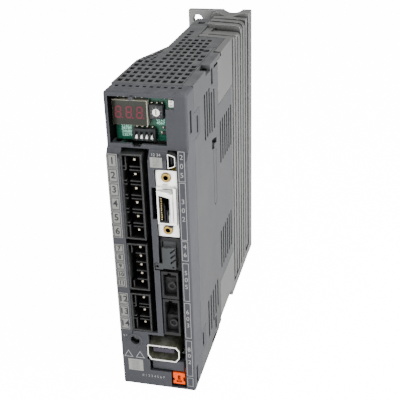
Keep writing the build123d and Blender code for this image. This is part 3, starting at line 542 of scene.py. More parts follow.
@dataclass(frozen=True)
class Finish:
    """A moulded or coated surface. Lengths are in millimetres.

    Attributes:
        slot: Material slot of the record that it stands for.
        colour: Base colour, linear.
        roughness: Middle of its roughness.
        metallic: 1 for bare metal.
        grain: How fine its grain is, in grains per metre.
        depth: Height of the grain.
        shade: How much the colour changes over the surface.
        wear: How far the corners are lightened, by rubbing and, on the headers, by a painted rim
            highlight.
        worn: Colour of the lightened corners, and of the headers' painted rim highlight.
        dust: How much dust lies on it.
        coat: Weight of a clear gloss coat.
        cavity: How far painted shade darkens its gaps and holes.
        reach: Width of the gaps that the painted shade darkens.
        soft: Radius that its own corners seem rounded by.
        gloss: Strength of its reflections, 0.5 for common plastic.
        title: Name of the finish where the slot has more than one.
    """

    slot: str
    colour: Colour
    roughness: float = 0.5
    metallic: float = 0.0
    grain: float = 2600.0
    depth: float = 0.02
    shade: float = 0.10
    wear: float = 0.35
    worn: Colour = (0.4, 0.4, 0.4)
    dust: float = 0.10
    coat: float = 0.0
    cavity: float = 0.6
    reach: float = 3.0
    soft: float = 0.12
    gloss: float = 0.14
    title: str = ""

    def material(self) -> bpy.types.Material:
        """Build the material, or return it if it is there already."""
        name = f"{self.title or self.slot}_finish"
        if name in bpy.data.materials:
            return bpy.data.materials[name]
        material = bpy.data.materials.new(name)
        material.use_nodes = True
        material.node_tree.nodes.clear()
        wiring = Wiring(material.node_tree)
        shader = wiring.add("BsdfPrincipled", {"Metallic": self.metallic,
                                               "Specular IOR Level": self.gloss})
        if self.coat:
            shader.inputs["Coat Weight"].default_value = self.coat
            shader.inputs["Coat Roughness"].default_value = 0.08
        grain = wiring.add("Group", {"Scale": self.grain, "Contrast": 1.0},
                           node_tree=Effects.fine_grain())
        base = self.tinted(wiring, grain.outputs["Shade"])
        # Lightened corners: rubbing on most finishes, a painted rim highlight on the headers.
        worn = wiring.add("Group", {"Colour": base, "Tint": (*self.worn, 1),
                                    "Amount": self.wear}, node_tree=Effects.edge_wear())
        # Painted shade: the colour darkens deep in gaps and holes.
        shaded = wiring.add("Group", {
            "Colour": worn.outputs["Colour"], "Tint": (*(c * PAINTED_SHADE_SHARE for c in self.colour), 1),
            "Reach": self.reach * MM, "Amount": self.cavity}, node_tree=Effects.cavity_shade())
        dusty = wiring.add("Group", {"Colour": shaded.outputs["Colour"], "Amount": self.dust},
                           node_tree=Effects.settled_dust())
        material.node_tree.links.new(dusty.outputs["Colour"], shader.inputs["Base Color"])
        rough = wiring.fit(grain.outputs["Shade"], (0.25, 0.75),
                           (self.roughness - 0.07, self.roughness + 0.07))
        rough = wiring.math("ADD", rough, wiring.math("MULTIPLY", dusty.outputs["Mask"], 0.3),
                            clamp=True)
        material.node_tree.links.new(rough, shader.inputs["Roughness"])
        corners = wiring.add("Bevel", {"Radius": self.soft * MM}, samples=4).outputs[0]
        bump = wiring.add("Bump", {"Height": self.relief(wiring, grain.outputs["Height"]),
                                   "Normal": corners, "Strength": 0.6,
                                   "Distance": self.depth * MM})
        material.node_tree.links.new(bump.outputs[0], shader.inputs["Normal"])
        wiring.add("OutputMaterial", {"Surface": shader.outputs[0]})
        return material

    def tinted(self, wiring: Wiring, shade: Socket) -> Socket:
        """Base colour with its slow change over the surface."""
        dark = tuple(c * (1 - self.shade) for c in self.colour)
        light = tuple(min(1.0, c * (1 + self.shade)) for c in self.colour)
        share = wiring.fit(shade, (0.3, 0.7))
        return wiring.blend(share, (*dark, 1), (*light, 1))

    def relief(self, wiring: Wiring, height: Socket) -> Socket:
        """Height of the surface's fine relief."""
        return height

    def dress(self, piece: Piece) -> Piece:
        """Put this finish's material on a piece, in place of its others."""
        piece.data.materials.clear()
        piece.data.materials.append(self.material())
        return piece


@dataclass(frozen=True)
class CastMetal(Finish):
    """Die-cast aluminium: blotched, faintly streaked where the metal flowed."""

    metallic: float = 1.0
    streak: float = 0.25

    def tinted(self, wiring: Wiring, shade: Socket) -> Socket:
        """Base colour with upright flow streaks."""
        base = super().tinted(wiring, shade)
        flow = wiring.noise(300, 4, 0.6, (1.0, 1.0, 0.05))
        share = wiring.math("MULTIPLY", wiring.fit(flow, (0.35, 0.7)), self.streak)
        dull = tuple(c * 0.74 for c in self.colour)
        return wiring.blend(share, base, (*dull, 1))

    def relief(self, wiring: Wiring, height: Socket) -> Socket:
        """Fine cast skin over shallow waves."""
        waves = wiring.noise(180, 3, 0.5)
        return wiring.math("ADD", height, wiring.math("MULTIPLY", waves, 1.4))


@dataclass(frozen=True)
class CircuitBoard(Finish):
    """Solder mask over copper tracks: slightly lighter lines in a grid of right angles."""

    track: float = 0.35

    def lines(self, wiring: Wiring) -> Socket:
        """Mask of the tracks under the solder mask."""
        spot = wiring.add("Mapping", {"Vector": wiring.place(),
                                      "Rotation": (math.pi / 2, 0, 0)}).outputs[0]
        cells = wiring.add("TexBrick", {
            "Vector": spot, "Scale": 1.0, "Mortar Size": 0.00012, "Mortar Smooth": 0.4,
            "Brick Width": 0.0031, "Row Height": 0.0014})
        return cells.outputs["Fac"]

    def tinted(self, wiring: Wiring, shade: Socket) -> Socket:
        """Base colour with its tracks."""
        base = super().tinted(wiring, shade)
        light = tuple(min(1.0, c * 1.9 + 0.02) for c in self.colour)
        share = wiring.math("MULTIPLY", self.lines(wiring), self.track)
        return wiring.blend(share, base, (*light, 1))

    def relief(self, wiring: Wiring, height: Socket) -> Socket:
        """Tracks stand a little proud of the board."""
        return wiring.math("ADD", wiring.math("MULTIPLY", height, 0.2), self.lines(wiring))


@dataclass(frozen=True)
class DrawnMetal(Finish):
    """Plated or machined metal with fine lines along one direction."""

    metallic: float = 1.0
    along: Place = (1.0, 1.0, 0.08)

    def relief(self, wiring: Wiring, height: Socket) -> Socket:
        """Fine drawn lines."""
        return wiring.noise(2200, 2, 0.6, self.along)


class Finishes:
    """Every finish of the drive, by what it is used for."""

    COVER = Finish("cover_plastic", (0.036, 0.0372, 0.043), 0.50, depth=0.03, soft=0.3,
                   worn=(0.13, 0.135, 0.15), wear=0.5, dust=0.04, cavity=0.95, reach=4.0)
    CASE = Finish("case_plastic", (0.048, 0.0492, 0.0515), 0.52, depth=0.03, soft=0.25,
                  worn=(0.14, 0.145, 0.15), wear=0.5, dust=0.05, cavity=0.97, reach=5.0)
    CAST = CastMetal("cast_aluminium", (0.165, 0.168, 0.163), 0.48, grain=1500, depth=0.06,
                     shade=0.12, wear=0.8, worn=(0.45, 0.455, 0.45), dust=0.05, cavity=0.85,
                     reach=9.0, soft=0.5)
    BOARD = CircuitBoard("board_green", (0.004, 0.062, 0.036), 0.32, grain=1200, depth=0.03,
                         worn=(0.10, 0.14, 0.10), wear=0.3, coat=0.3, cavity=0.85)
    DISPLAY = Finish("display_face", (0.017, 0.0175, 0.013), 0.30, depth=0.004,
                     worn=(0.05, 0.05, 0.04), coat=0.15, wear=0.3, cavity=0.2)
    DISPLAY_BODY = Finish("switch_white", (0.34, 0.33, 0.26), 0.45, shade=0.06,
                          worn=(0.7, 0.68, 0.55), cavity=0.1, title="display_body")
    SEGMENT = Finish("segment_red", (0.105, 0.019, 0.030), 0.45, grain=4000, depth=0.004,
                     wear=0.0, dust=0.0, cavity=0.0)
    SWITCH_GREY = Finish("switch_grey", (0.032, 0.033, 0.036), 0.5, worn=(0.1, 0.1, 0.1))
    SWITCH_WHITE = Finish("switch_white", (0.90, 0.90, 0.86), 0.42, shade=0.04, depth=0.008,
                          worn=(0.95, 0.95, 0.92), dust=0.03, cavity=0.0, gloss=0.5)
    DIAL = Finish("switch_white", (0.90, 0.90, 0.84), 0.42, shade=0.04, depth=0.008,
                  worn=(0.95, 0.95, 0.92), dust=0.0, cavity=0.9, reach=0.8, gloss=0.5,
                  title="dial_white")
    SWITCH_DARK = Finish("switch_dark", (0.018, 0.020, 0.022), 0.45, worn=(0.09, 0.09, 0.09))
    MINT_INK = Finish("switch_white", (0.30, 0.62, 0.50), 0.6, wear=0.0, dust=0.0, cavity=0.0,
                      title="mint_ink")
    GOLD = DrawnMetal("gold_plating", (0.95, 0.74, 0.30), 0.3, depth=0.004, wear=0.2,
                      worn=(1.0, 0.92, 0.66), dust=0.02, cavity=0.0)
    # The headers' pale rims are a painted highlight, and painted shade blackens their cavities.
    HEADER = Finish("header_black", (0.020, 0.0205, 0.0205), 0.45, depth=0.015, gloss=0.1,
                    worn=(0.10, 0.10, 0.10), wear=1.0, dust=0.0, cavity=1.0, reach=9.0)
    CONNECTOR = Finish("connector_black", (0.010, 0.010, 0.011), 0.42, depth=0.012, gloss=0.2,
                       worn=(0.06, 0.06, 0.065), wear=0.7, dust=0.03, cavity=1.0)
    # Flat black for sheets that stand in for shade: painted shade in the display window and
    # behind the bottom inlets.
    LINER = Finish("connector_black", (0.0015, 0.0015, 0.0015), 0.8, wear=0.0, dust=0.0,
                   gloss=0.02, title="shade_black")
    TIN = DrawnMetal("tin_plating", (0.46, 0.42, 0.32), 0.3, depth=0.003, wear=0.3,
                     worn=(0.60, 0.56, 0.45), dust=0.0, cavity=0.6, reach=1.0)
    NICKEL = DrawnMetal("nickel_steel", (0.93, 0.925, 0.90), 0.36, depth=0.004, wear=0.3,
                        worn=(0.98, 0.98, 0.95), dust=0.03, metallic=0.5, cavity=0.95,
                        reach=3.0, shade=0.05)
    BRASS = DrawnMetal("brass_plating", (0.33, 0.22, 0.06), 0.3, depth=0.004, wear=0.3,
                       worn=(0.75, 0.58, 0.28), dust=0.0, cavity=0.9, reach=2.5)
    PLUG = Finish("plug_grey", (0.034, 0.036, 0.038), 0.46, worn=(0.11, 0.115, 0.12), wear=0.6,
                  cavity=0.8)
    DARK_INK = Finish("plug_grey", (0.022, 0.023, 0.025), 0.6, wear=0.0, dust=0.0, cavity=0.0,
                      title="dark_ink")
    CAP = Finish("cap_black", (0.009, 0.009, 0.010), 0.55, worn=(0.07, 0.07, 0.075), wear=0.9,
                 gloss=0.2)
    INSERT = Finish("insert_grey", (0.034, 0.030, 0.041), 0.45, worn=(0.18, 0.16, 0.2))
    # Dark olive copy of the nickel: painted shade on the encoder shell behind its rim.
    OLIVE = Finish("nickel_steel", (0.030, 0.031, 0.020), 0.4, worn=(0.12, 0.12, 0.09),
                   cavity=0.6, title="shaded_olive_steel")
    # Dark copy of the nickel: painted shade in the latch recess and along the shell's grooves and
    # bend lines.
    LATCH = DrawnMetal("nickel_steel", (0.30, 0.31, 0.28), 0.4, depth=0.004, wear=0.4,
                       worn=(0.8, 0.8, 0.76), dust=0.0, metallic=0.5, cavity=0.6, reach=1.0,
                       title="shaded_latch_steel")
    PORT_WALL = Finish("insert_grey", (0.018, 0.017, 0.022), 0.4, worn=(0.12, 0.11, 0.14),
                       cavity=0.3, title="port_wall")
    ORANGE = Finish("orange_plastic", (0.72, 0.065, 0.0005), 0.42, shade=0.08, depth=0.01,
                    worn=(0.95, 0.16, 0.02), wear=0.6, dust=0.0, cavity=1.0, reach=3.0,
                    gloss=0.06)
    LABEL = Finish("label_pale", (0.150, 0.152, 0.142), 0.6, grain=1800, depth=0.006,
                   worn=(0.2, 0.2, 0.2), wear=0.2, dust=0.03, cavity=0.0)
    STICKER = Finish("label_pale", (0.195, 0.195, 0.183), 0.6, grain=1800, depth=0.006,
                     worn=(0.3, 0.3, 0.3), wear=0.2, dust=0.03, cavity=0.0, title="sticker")
    PALE_INK = Finish("label_pale", (0.24, 0.24, 0.24), 0.6, wear=0.0, dust=0.0, cavity=0.0,
                      title="pale_ink")
    FAINT_INK = Finish("label_pale", (0.135, 0.135, 0.13), 0.6, wear=0.0, dust=0.0, cavity=0.0,
                       title="faint_ink")
    LENS = Finish("lamp_lens", (0.006, 0.006, 0.007), 0.12, depth=0.002, wear=0.1, coat=0.8)
    RESIN = Finish("resin_black", (0.022, 0.022, 0.024), 0.5, worn=(0.1, 0.1, 0.1))
    PAD = Finish("pad_grey", (0.12, 0.13, 0.15), 0.7, wear=0.0)
    ZINC = DrawnMetal("zinc_steel", (0.70, 0.71, 0.72), 0.32, depth=0.006,
                      worn=(0.9, 0.9, 0.9), dust=0.04, cavity=0.8)
    SLEEVE = Finish("capacitor_sleeve", (0.012, 0.018, 0.045), 0.3, worn=(0.2, 0.2, 0.25),
                    coat=0.4)
    FERRITE = Finish("ferrite", (0.045, 0.045, 0.050), 0.55, depth=0.03, worn=(0.15, 0.15, 0.15))
    TAPE = Finish("coil_tape", (0.32, 0.22, 0.02), 0.3, depth=0.01, coat=0.4)
    RELAY = Finish("relay_body", (0.02, 0.06, 0.20), 0.35, worn=(0.15, 0.2, 0.35))
    CHOKE = Finish("choke_core", (0.05, 0.16, 0.08), 0.45)
    FILM = Finish("film_yellow", (0.32, 0.24, 0.03), 0.35)


def show(piece: Piece, finish: Finish, body: str = HOUSING, *replaced: str) -> Piece:
    """Dress a new piece and fasten it to its body.

    Args:
        piece: The finished mesh.
        finish: Its finish.
        body: The body that it rides on.
        replaced: Packed nodes that it stands for.

    Returns:
        The same piece.
    """
    finish.dress(piece)
    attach(piece, body)
    if replaced:
        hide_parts(*replaced)
    LOG.info("%s: %d faces, on %s", piece.name, len(piece.data.polygons), body)
    return piece


def body_of(node: str) -> str:
    """The body that a packed node belongs to."""
    bodies = frame["record"]["behaviour"]["bodies"]
    return next(body for body, nodes in bodies.items() if node in nodes)


def dress_node(node: str, finish: Finish) -> None:
    """Give a packed node its finish and leave its mesh as it is."""
    target = frame["nodes"][node]
    target.data.materials.clear()
    target.data.materials.append(finish.material())
    DRESSED.add(node)
    LOG.info("%s: packed shape kept", node)


def copy_of(node: str, name: str) -> Piece:
    """Copy a packed node's mesh as a new piece, with its doubled points merged."""
    take(frame["nodes"][node])
    bpy.ops.object.duplicate(linked=False)
    piece = bpy.context.object
    piece.parent = None
    for key in list(piece.keys()):
        del piece[key]
    piece.name = name
    enter_edit(piece)
    bpy.ops.mesh.remove_doubles(threshold=2e-6)
    bpy.ops.mesh.customdata_custom_splitnormals_clear()
    leave_edit()
    return piece


def extent(mesh: bpy.types.Mesh) -> Tuple[Vector, Vector, float]:
    """Lowest corner, highest corner and volume of a mesh."""
    low = Vector([min(point.co[i] for point in mesh.vertices) for i in range(3)])
    high = Vector([max(point.co[i] for point in mesh.vertices) for i in range(3)])
    mesh.calc_loop_triangles()
    volume = 0.0
    for triangle in mesh.loop_triangles:
        a, b, c = (mesh.vertices[i].co for i in triangle.vertices)
        volume += a.dot(b.cross(c)) / 6
    return low, high, volume


def sound(piece: Piece, node: str) -> bool:
    """Tell whether a rounded copy still fills the box and the volume of its packed node."""
    low, high, volume = extent(piece.data)
    node_low, node_high, node_volume = extent(frame["nodes"][node].data)
    moved = max((low - node_low).length, (high - node_high).length)
    return moved < 0.02 * MM and abs(volume / node_volume - 1) < 0.07


def eased(node: str, finish: Finish, width: float, segments: int = 2) -> None:
    """Show a packed node with rounded edges, or as it is where rounding would tear it.

    Args:
        node: The packed node.
        finish: Its finish.
        width: Width of the rounding in millimetres.
        segments: Number of strips in the rounding.
    """
    for merged in (True, False):
        piece = copy_of(node, f"{node}_eased")
        if merged:
            enter_edit(piece)
            bpy.ops.mesh.dissolve_limited(angle_limit=math.radians(1))
            leave_edit()
        round_edges(piece, width, segments)
        if sound(piece, node):
            show(piece, finish, body_of(node), node)
            return
        bpy.data.objects.remove(piece)
    dress_node(node, finish)


def rimmed(node: str, rim: Finish, back: Finish, width: float) -> None:
    """Show a port's shell in two finishes: its front rim, and the rest set back from it, dark as
    painted shade.

    Args:
        node: The packed shell.
        rim: Finish of the rim.
        back: Finish of the rest, a painted shade.
        width: Depth of the rim in millimetres.
    """
    shell = copy_of(node, f"{node}_shell")
    front = min(point.co.y for point in shell.data.vertices)
    ring = copy_to(shell, f"{node}_rim", (0, 0, 0))
    edit_faces(ring, lambda face: not (Side.FRONT.meets(face)
                                       and face.center.y < front + 0.1 * MM))
    bpy.ops.mesh.delete(type="FACE")
    leave_edit()
    take(ring)
    wall = ring.modifiers.new("wall", "SOLIDIFY")
    wall.thickness, wall.offset = width * MM, -1.0
    bpy.ops.object.modifier_apply(modifier=wall.name)
    show(round_edges(clean(ring), 0.08), rim, body_of(node))
    enter_edit(shell)
    bpy.ops.transform.translate(value=(0, 0.6 * width * MM, 0))
    leave_edit()
    show(round_edges(shell, 0.06), back, body_of(node), node)


# ------------------------------------------------------------------ sub-assemblies


@dataclass
class Casing:
    """Front cover, casing and right cover, with what is printed on them."""

    face: float = 0.3
    ink: float = 0.05
    strip_x: Span = (35.7, 38.9)
    line: float = 0.26
    frames_z: Tuple[Span, ...] = ((123.9, 139.2), (92.9, 123.4), (81.4, 92.4), (58.1, 80.1),
                                  (35.7, 57.1), (11.5, 34.2), (4.8, 10.4))
    stacks: Tuple[Tuple[str, float, float], ...] = (
        ("205", 136.2, 4.5), ("302", 113.5, 4.6), ("46", 89.2, 4.4), ("505", 74.5, 4.0),
        ("603", 51.5, 4.0), ("802", 28.5, 4.0))
    figure: float = 2.5
    marks_x: Tuple[float, ...] = (3.9, 10.3)
    marks_z: float = 21.0
    mark_radius: float = 2.9
    mark_line: float = 0.32
    shroud_box: Block = ((2.01, 2.25), (5.8, 11.9), (140.1, 163.1))
    film_box: Block = ((4.9, 34.0), (20.0, 62.0), (4.5, 4.8))

    def build(self) -> None:
        """Model and dress the whole casing."""
        dress_node("front_cover", Finishes.COVER)
        dress_node("main_case", Finishes.CASE)
        dress_node("right_cover", Finishes.CASE)
        self.strip_frames()
        self.strip_numbers()
        self.corner_marks()
        self.small_numbers()
        self.shroud()
        self.film()

    def shroud(self) -> None:
        """Black sheet inside the left edge of the display window: painted shade on its inner
        wall.
        """
        wall = add_box("window_shroud", *self.shroud_box)
        draw_out(wall, Side.FRONT, 2.0, (1.0, 1.0, 0.98))
        show(round_edges(wall, 0.06), Finishes.LINER)

    def film(self) -> None:
        """Black sheet inside the casing over the air inlets in its bottom: painted shade for the
        dark interior.
        """
        sheet = add_box("inlet_film", *self.film_box)
        sink_side(sheet, Side.TOP, 1.5, 0.1)
        show(round_edges(sheet, 0.08), Finishes.LINER)

    def strip_frames(self) -> None:
        """Thin printed frames down the right of the front, one for each connector."""
        rings = []
        for number, (low, high) in enumerate(self.frames_z):
            ring = add_box(f"strip_frame_{number}", self.strip_x,
                           (self.face - self.ink, self.face), (low, high))
            open_through(ring, Side.FRONT, self.line)
            rings.append(ring)
        show(join(rings, "strip_frames"), Finishes.PALE_INK)

    def strip_numbers(self) -> None:
        """Plain numbers in the frames, their figures one above the other."""
        middle = sum(self.strip_x) / 2
        stacks = [figures(f"strip_number_{text}_{i}", digit, self.figure,
                          (middle, self.face, top - i * step), self.ink)
                  for text, top, step in self.stacks for i, digit in enumerate(text)]
        show(join(stacks, "strip_numbers"), Finishes.PALE_INK)

    def corner_marks(self) -> None:
        """Two plain printed triangles near the lower left corner."""
        marks = []
        for number, x in enumerate(self.marks_x):
            mark = add_round(f"corner_mark_{number}", (x, self.face - self.ink, self.marks_z),
                             self.mark_radius, self.ink, corners=3)
            open_through(mark, Side.FRONT, self.mark_line)
            marks.append(mark)
        show(join(marks, "corner_marks"), Finishes.PALE_INK)

    def small_numbers(self) -> None:
        """Rows of small figures under the marks, by the lamp and over the upper sticker."""
        rows = [figures("lower_row", "0 1 2 3 4 5 6 7", 1.5, (17.0, self.face, 8.4), self.ink),
                figures("lamp_row", "0 1", 1.3, (2.9, self.face, 33.0), self.ink),
                figures("sticker_row", "12 34", 1.5, (25.0, self.face, 136.7), self.ink)]
        show(join(rows, "small_numbers"), Finishes.PALE_INK)


@dataclass
class HeatSink:
    """Finned casting at the rear, with the screws that earth it."""

    screw_edge: float = 0.12

    def build(self) -> None:
        """Dress the casting and round its screws."""
        dress_node("heat_sink", Finishes.CAST)
        eased("earth_screws", Finishes.ZINC, self.screw_edge)


@dataclass
class PowerHeaders:
    """The three pin headers for the mains, control and motor plugs."""

    edge: float = 0.12
    tip: float = 0.27

    def build(self) -> None:
        """Round the headers' edges and taper their pins."""
        for ways in (6, 5, 3):
            eased(f"power_header_{ways}way", Finishes.HEADER, self.edge)
        eased("header_pins", Finishes.TIN, self.tip, 2)


@dataclass
class TerminalStrip:
    """Pale number plates beside the headers and the two blank stickers."""

    tile_x: Span = (0.9, 5.9)
    face: float = 0.1
    ink: float = 0.04
    gap: float = 0.15
    line: float = 0.32
    bold: float = 0.1
    headers: Tuple[Tuple[int, float, float], ...] = ((6, 7.5, 113.6), (5, 5.0, 75.2),
                                                     (3, 7.5, 48.2))

    def build(self) -> None:
        """Print the plates and the stickers."""
        dress_node("terminal_labels", Finishes.LABEL)
        dress_node("blank_stickers", Finishes.STICKER)
        rings, numbers = [], []
        count = 0
        for ways, pitch, middle in self.headers:
            for way in range(ways):
                count += 1
                z = middle + pitch * (ways / 2 - way - 0.5)
                half = pitch / 2 - self.gap - 0.4
                ring = add_box(f"tile_line_{count}", (self.tile_x[0] + 0.4, self.tile_x[1] - 0.4),
                               (self.face - self.ink, self.face), (z - half, z + half))
                open_through(ring, Side.FRONT, self.line)
                rings.append(ring)
                numbers.append(figures(f"tile_number_{count}", str(count), half * 1.1,
                                       (sum(self.tile_x) / 2, self.face, z), self.ink,
                                       bold=self.bold))
        show(join(rings, "tile_lines"), Finishes.DARK_INK)
        show(join(numbers, "tile_numbers"), Finishes.DARK_INK)
        self.sticker_rows()

    def sticker_rows(self) -> None:
        """Faint figures on the stickers."""
        blocks = ((7.55, 17.0, ("01234", "56789", "01234", "56789")),
                  (25.05, 134.6, ("0123", "4567", "8901")))
        show(text_rows("sticker_rows", blocks, self.face, 1.15, 1.55, self.ink),
             Finishes.FAINT_INK)


@dataclass
class DisplayPanel:
    """Display board with its digits, rotary switch, four-way switch and small parts."""

    digit_x: Tuple[float, ...] = (5.5, 10.7, 15.9)
    digit_z: float = 154.2
    wide: float = 2.45
    high: float = 5.3
    stroke: float = 0.78
    slant: float = 0.07
    face: float = 8.0
    board: float = 12.0
    dial: Place = (23.7, 8.8, 154.4)
    dip_x: Tuple[float, ...] = (13.35, 15.89, 18.43, 20.97)

    def build(self) -> None:
        """Model and dress the whole panel."""
        dress_node("display_board", Finishes.BOARD)
        eased("monitor_socket", Finishes.SWITCH_WHITE, 0.2)
        self.display_body()
        self.digits()
        self.rotary()
        self.dip()
        self.leads()
        self.chips()
        self.silkscreen()

    def display_body(self) -> None:
        """Pale moulded body with a dark window on its front."""
        body = add_box("display_body", (2.4, 19.6), (self.face + 0.25, self.board),
                       (147.8, 160.0))
        sink_side(body, Side.FRONT, 0.5, 0.3)
        show(round_edges(body, 0.15), Finishes.DISPLAY_BODY, HOUSING, "digit_display")
        window = add_box("display_window", (2.55, 19.3), (self.face + 0.12, self.face + 0.6),
                         (147.95, 159.75))
        draw_out(window, Side.FRONT, 0.08, (0.985, 1.0, 0.98))
        show(round_edges(window, 0.04), Finishes.DISPLAY)

    def bar(self, name: str, x: float, z: float, upright: bool, length: float) -> Piece:
        """One light bar with pointed ends.

        Args:
            name: The bar's name.
            x: Its middle from the left, in millimetres.
            z: Its middle from the bottom.
            upright: Whether it stands up.
            length: Its length between the points' roots.

        Returns:
            The bar.
        """
        half_x, half_z = (self.stroke / 2, length / 2) if upright else (length / 2,
                                                                       self.stroke / 2)
        piece = add_box(name, (x - half_x, x + half_x), (self.face - 0.02, self.face + 0.2),
                        (z - half_z, z + half_z))
        narrow = (0.1, 1.0, 1.0) if upright else (1.0, 1.0, 0.1)
        for side in (Side.TOP, Side.BOTTOM) if upright else (Side.LEFT, Side.RIGHT):
            draw_out(piece, side, self.stroke * 0.42, narrow)
        return piece

    def digits(self) -> None:
        """Seven bars and a point for each digit, leaning a little to the right."""
        x, z = self.digit_x[0], self.digit_z
        across = self.wide - self.stroke * 0.95
        up = self.high / 2 - self.stroke * 1.05
        bars = [self.bar(f"bar_{i}", x, z + i * self.high / 2, False, across)
                for i in (-1, 0, 1)]
        bars += [self.bar(f"bar_{i}_{j}", x + i * self.wide / 2, z + j * self.high / 4, True, up)
                 for i in (-1, 1) for j in (-1, 1)]
        bars.append(add_round("point", (x + self.wide / 2 + 0.85, self.face - 0.02,
                                        z - self.high / 2 - 0.1), 0.42, 0.2, corners=16))
        digit = join(bars, "digit_1")
        self.lean(digit, z)
        shifts = [(place - x, 0, 0) for place in self.digit_x[1:]]
        show(repeat(digit, "digit_bars", shifts), Finishes.SEGMENT, HOUSING, "digit_segments")

    def lean(self, piece: Piece, z: float) -> None:
        """Slide each level of a piece sideways by its height over z, so that it leans."""
        for level in sorted({round(point.co.z, 6) for point in piece.data.vertices}):
            enter_edit(piece, "VERT", "DESELECT")
            leave_edit()
            for point in piece.data.vertices:
                point.select = abs(point.co.z - level) < 2e-6
            bpy.ops.object.mode_set(mode="EDIT")
            bpy.ops.transform.translate(value=((level - z * MM) * self.slant, 0, 0))
            leave_edit()

    def rotary(self) -> None:
        """Rotary switch: grey body with ticks round a white dial."""
        eased("rotary_switch", Finishes.SWITCH_GREY, 0.15)
        eased("rotary_dial", Finishes.DIAL, 0.10, 3)
        x, y, z = self.dial
        tick = add_box("tick_0", (x - 0.16, x + 0.16), (y - 0.04, y), (z + 2.15, z + 2.85))
        draw_out(tick, Side.TOP, 0.1, (0.4, 1.0, 1.0))
        ticks = [tick] + [turn_about(copy_to(tick, f"tick_{step}", (0, 0, 0)), self.dial,
                                     step * 36.0) for step in range(1, 10)]
        show(join(ticks, "dial_ticks"), Finishes.FAINT_INK)

    def dip(self) -> None:
        """Four-way switch with its white thumbs and their numbers."""
        eased("dip_switch", Finishes.SWITCH_DARK, 0.12)
        numbers = []
        for number, x in enumerate(self.dip_x, 1):
            thumb = add_box(f"dip_thumb_{number}", (x - 0.53, x + 0.53), (8.6, 10.5),
                            (141.05, 141.75))
            draw_out(thumb, Side.TOP, 0.25, (0.55, 1.0, 1.0))
            draw_out(thumb, Side.TOP, 0.7, (0.9, 0.9, 1.0))
            show(round_edges(thumb, 0.07), Finishes.SWITCH_WHITE, f"dip_slider_{number}",
                 f"dip_slider_{number}")
            numbers.append(figures(f"dip_number_{number}", str(number), 0.85,
                                   (x, 9.2, 140.3), 0.04))
        show(join(numbers, "dip_numbers"), Finishes.PALE_INK)

    def leads(self) -> None:
        """Soldered leads above the display, the dial and the four-way switch."""
        places = [(x, 10.6, 160.7) for x in (4.6, 7.6, 10.6, 13.6, 16.6)]
        places += [(x, 10.9, 146.4) for x in self.dip_x]
        places += [(self.dial[0] + 2.54 * i, 10.9, 158.5) for i in (-1, 0, 1)]
        x, y, z = places[0]
        lead = add_box("lead", (x - 0.48, x + 0.48), (y + 0.35, self.board), (z - 0.4, z + 0.4))
        draw_out(lead, Side.FRONT, 0.2, (0.85, 1.0, 0.7))
        draw_out(lead, Side.FRONT, 0.12, (0.6, 1.0, 0.5))
        round_edges(lead, 0.09, 2, 20)
        shifts = [(place[0] - x, 0, place[2] - z) for place in places[1:]]
        show(repeat(lead, "board_leads", shifts), Finishes.TIN, HOUSING, "board_pins")

    def chips(self) -> None:
        """Small chips and resistors on the board, with their tinned ends."""
        bodies, ends = [], []
        for number, (x, z, wide, high) in enumerate((
                (26.6, 143.4, 2.6, 1.5), (27.0, 146.2, 1.7, 0.9), (28.4, 160.9, 1.8, 1.0),
                (25.0, 161.6, 1.6, 0.9), (31.9, 144.0, 2.2, 3.0))):
            body = add_box(f"chip_{number}", (x - wide / 2, x + wide / 2),
                           (self.board - 0.55, self.board), (z - high / 2, z + high / 2))
            draw_out(body, Side.FRONT, 0.2, (0.9, 1.0, 0.86))
            bodies.append(round_edges(body, 0.06))
            for way in (-1, 1):
                middle = x + way * (wide / 2 + 0.08)
                end = add_box(f"chip_end_{number}_{way}", (middle - 0.22, middle + 0.22),
                              (self.board - 0.62, self.board),
                              (z - high / 2 - 0.03, z + high / 2 + 0.03))
                ends.append(round_edges(end, 0.08))
        show(join(bodies, "board_chips"), Finishes.RESIN)
        show(join(ends, "chip_ends"), Finishes.TIN)

    def silkscreen(self) -> None:
        """Rows of printed figures on the board beside the switches."""
        blocks = ((7.7, 146.6, ("01234", "56789", "24680", "13579")),
                  (24.8, 149.9, ("0123", "4567")))
        show(text_rows("board_figures", blocks, self.board, 1.45, 1.75, 0.03, 0.07),
             Finishes.MINT_INK)


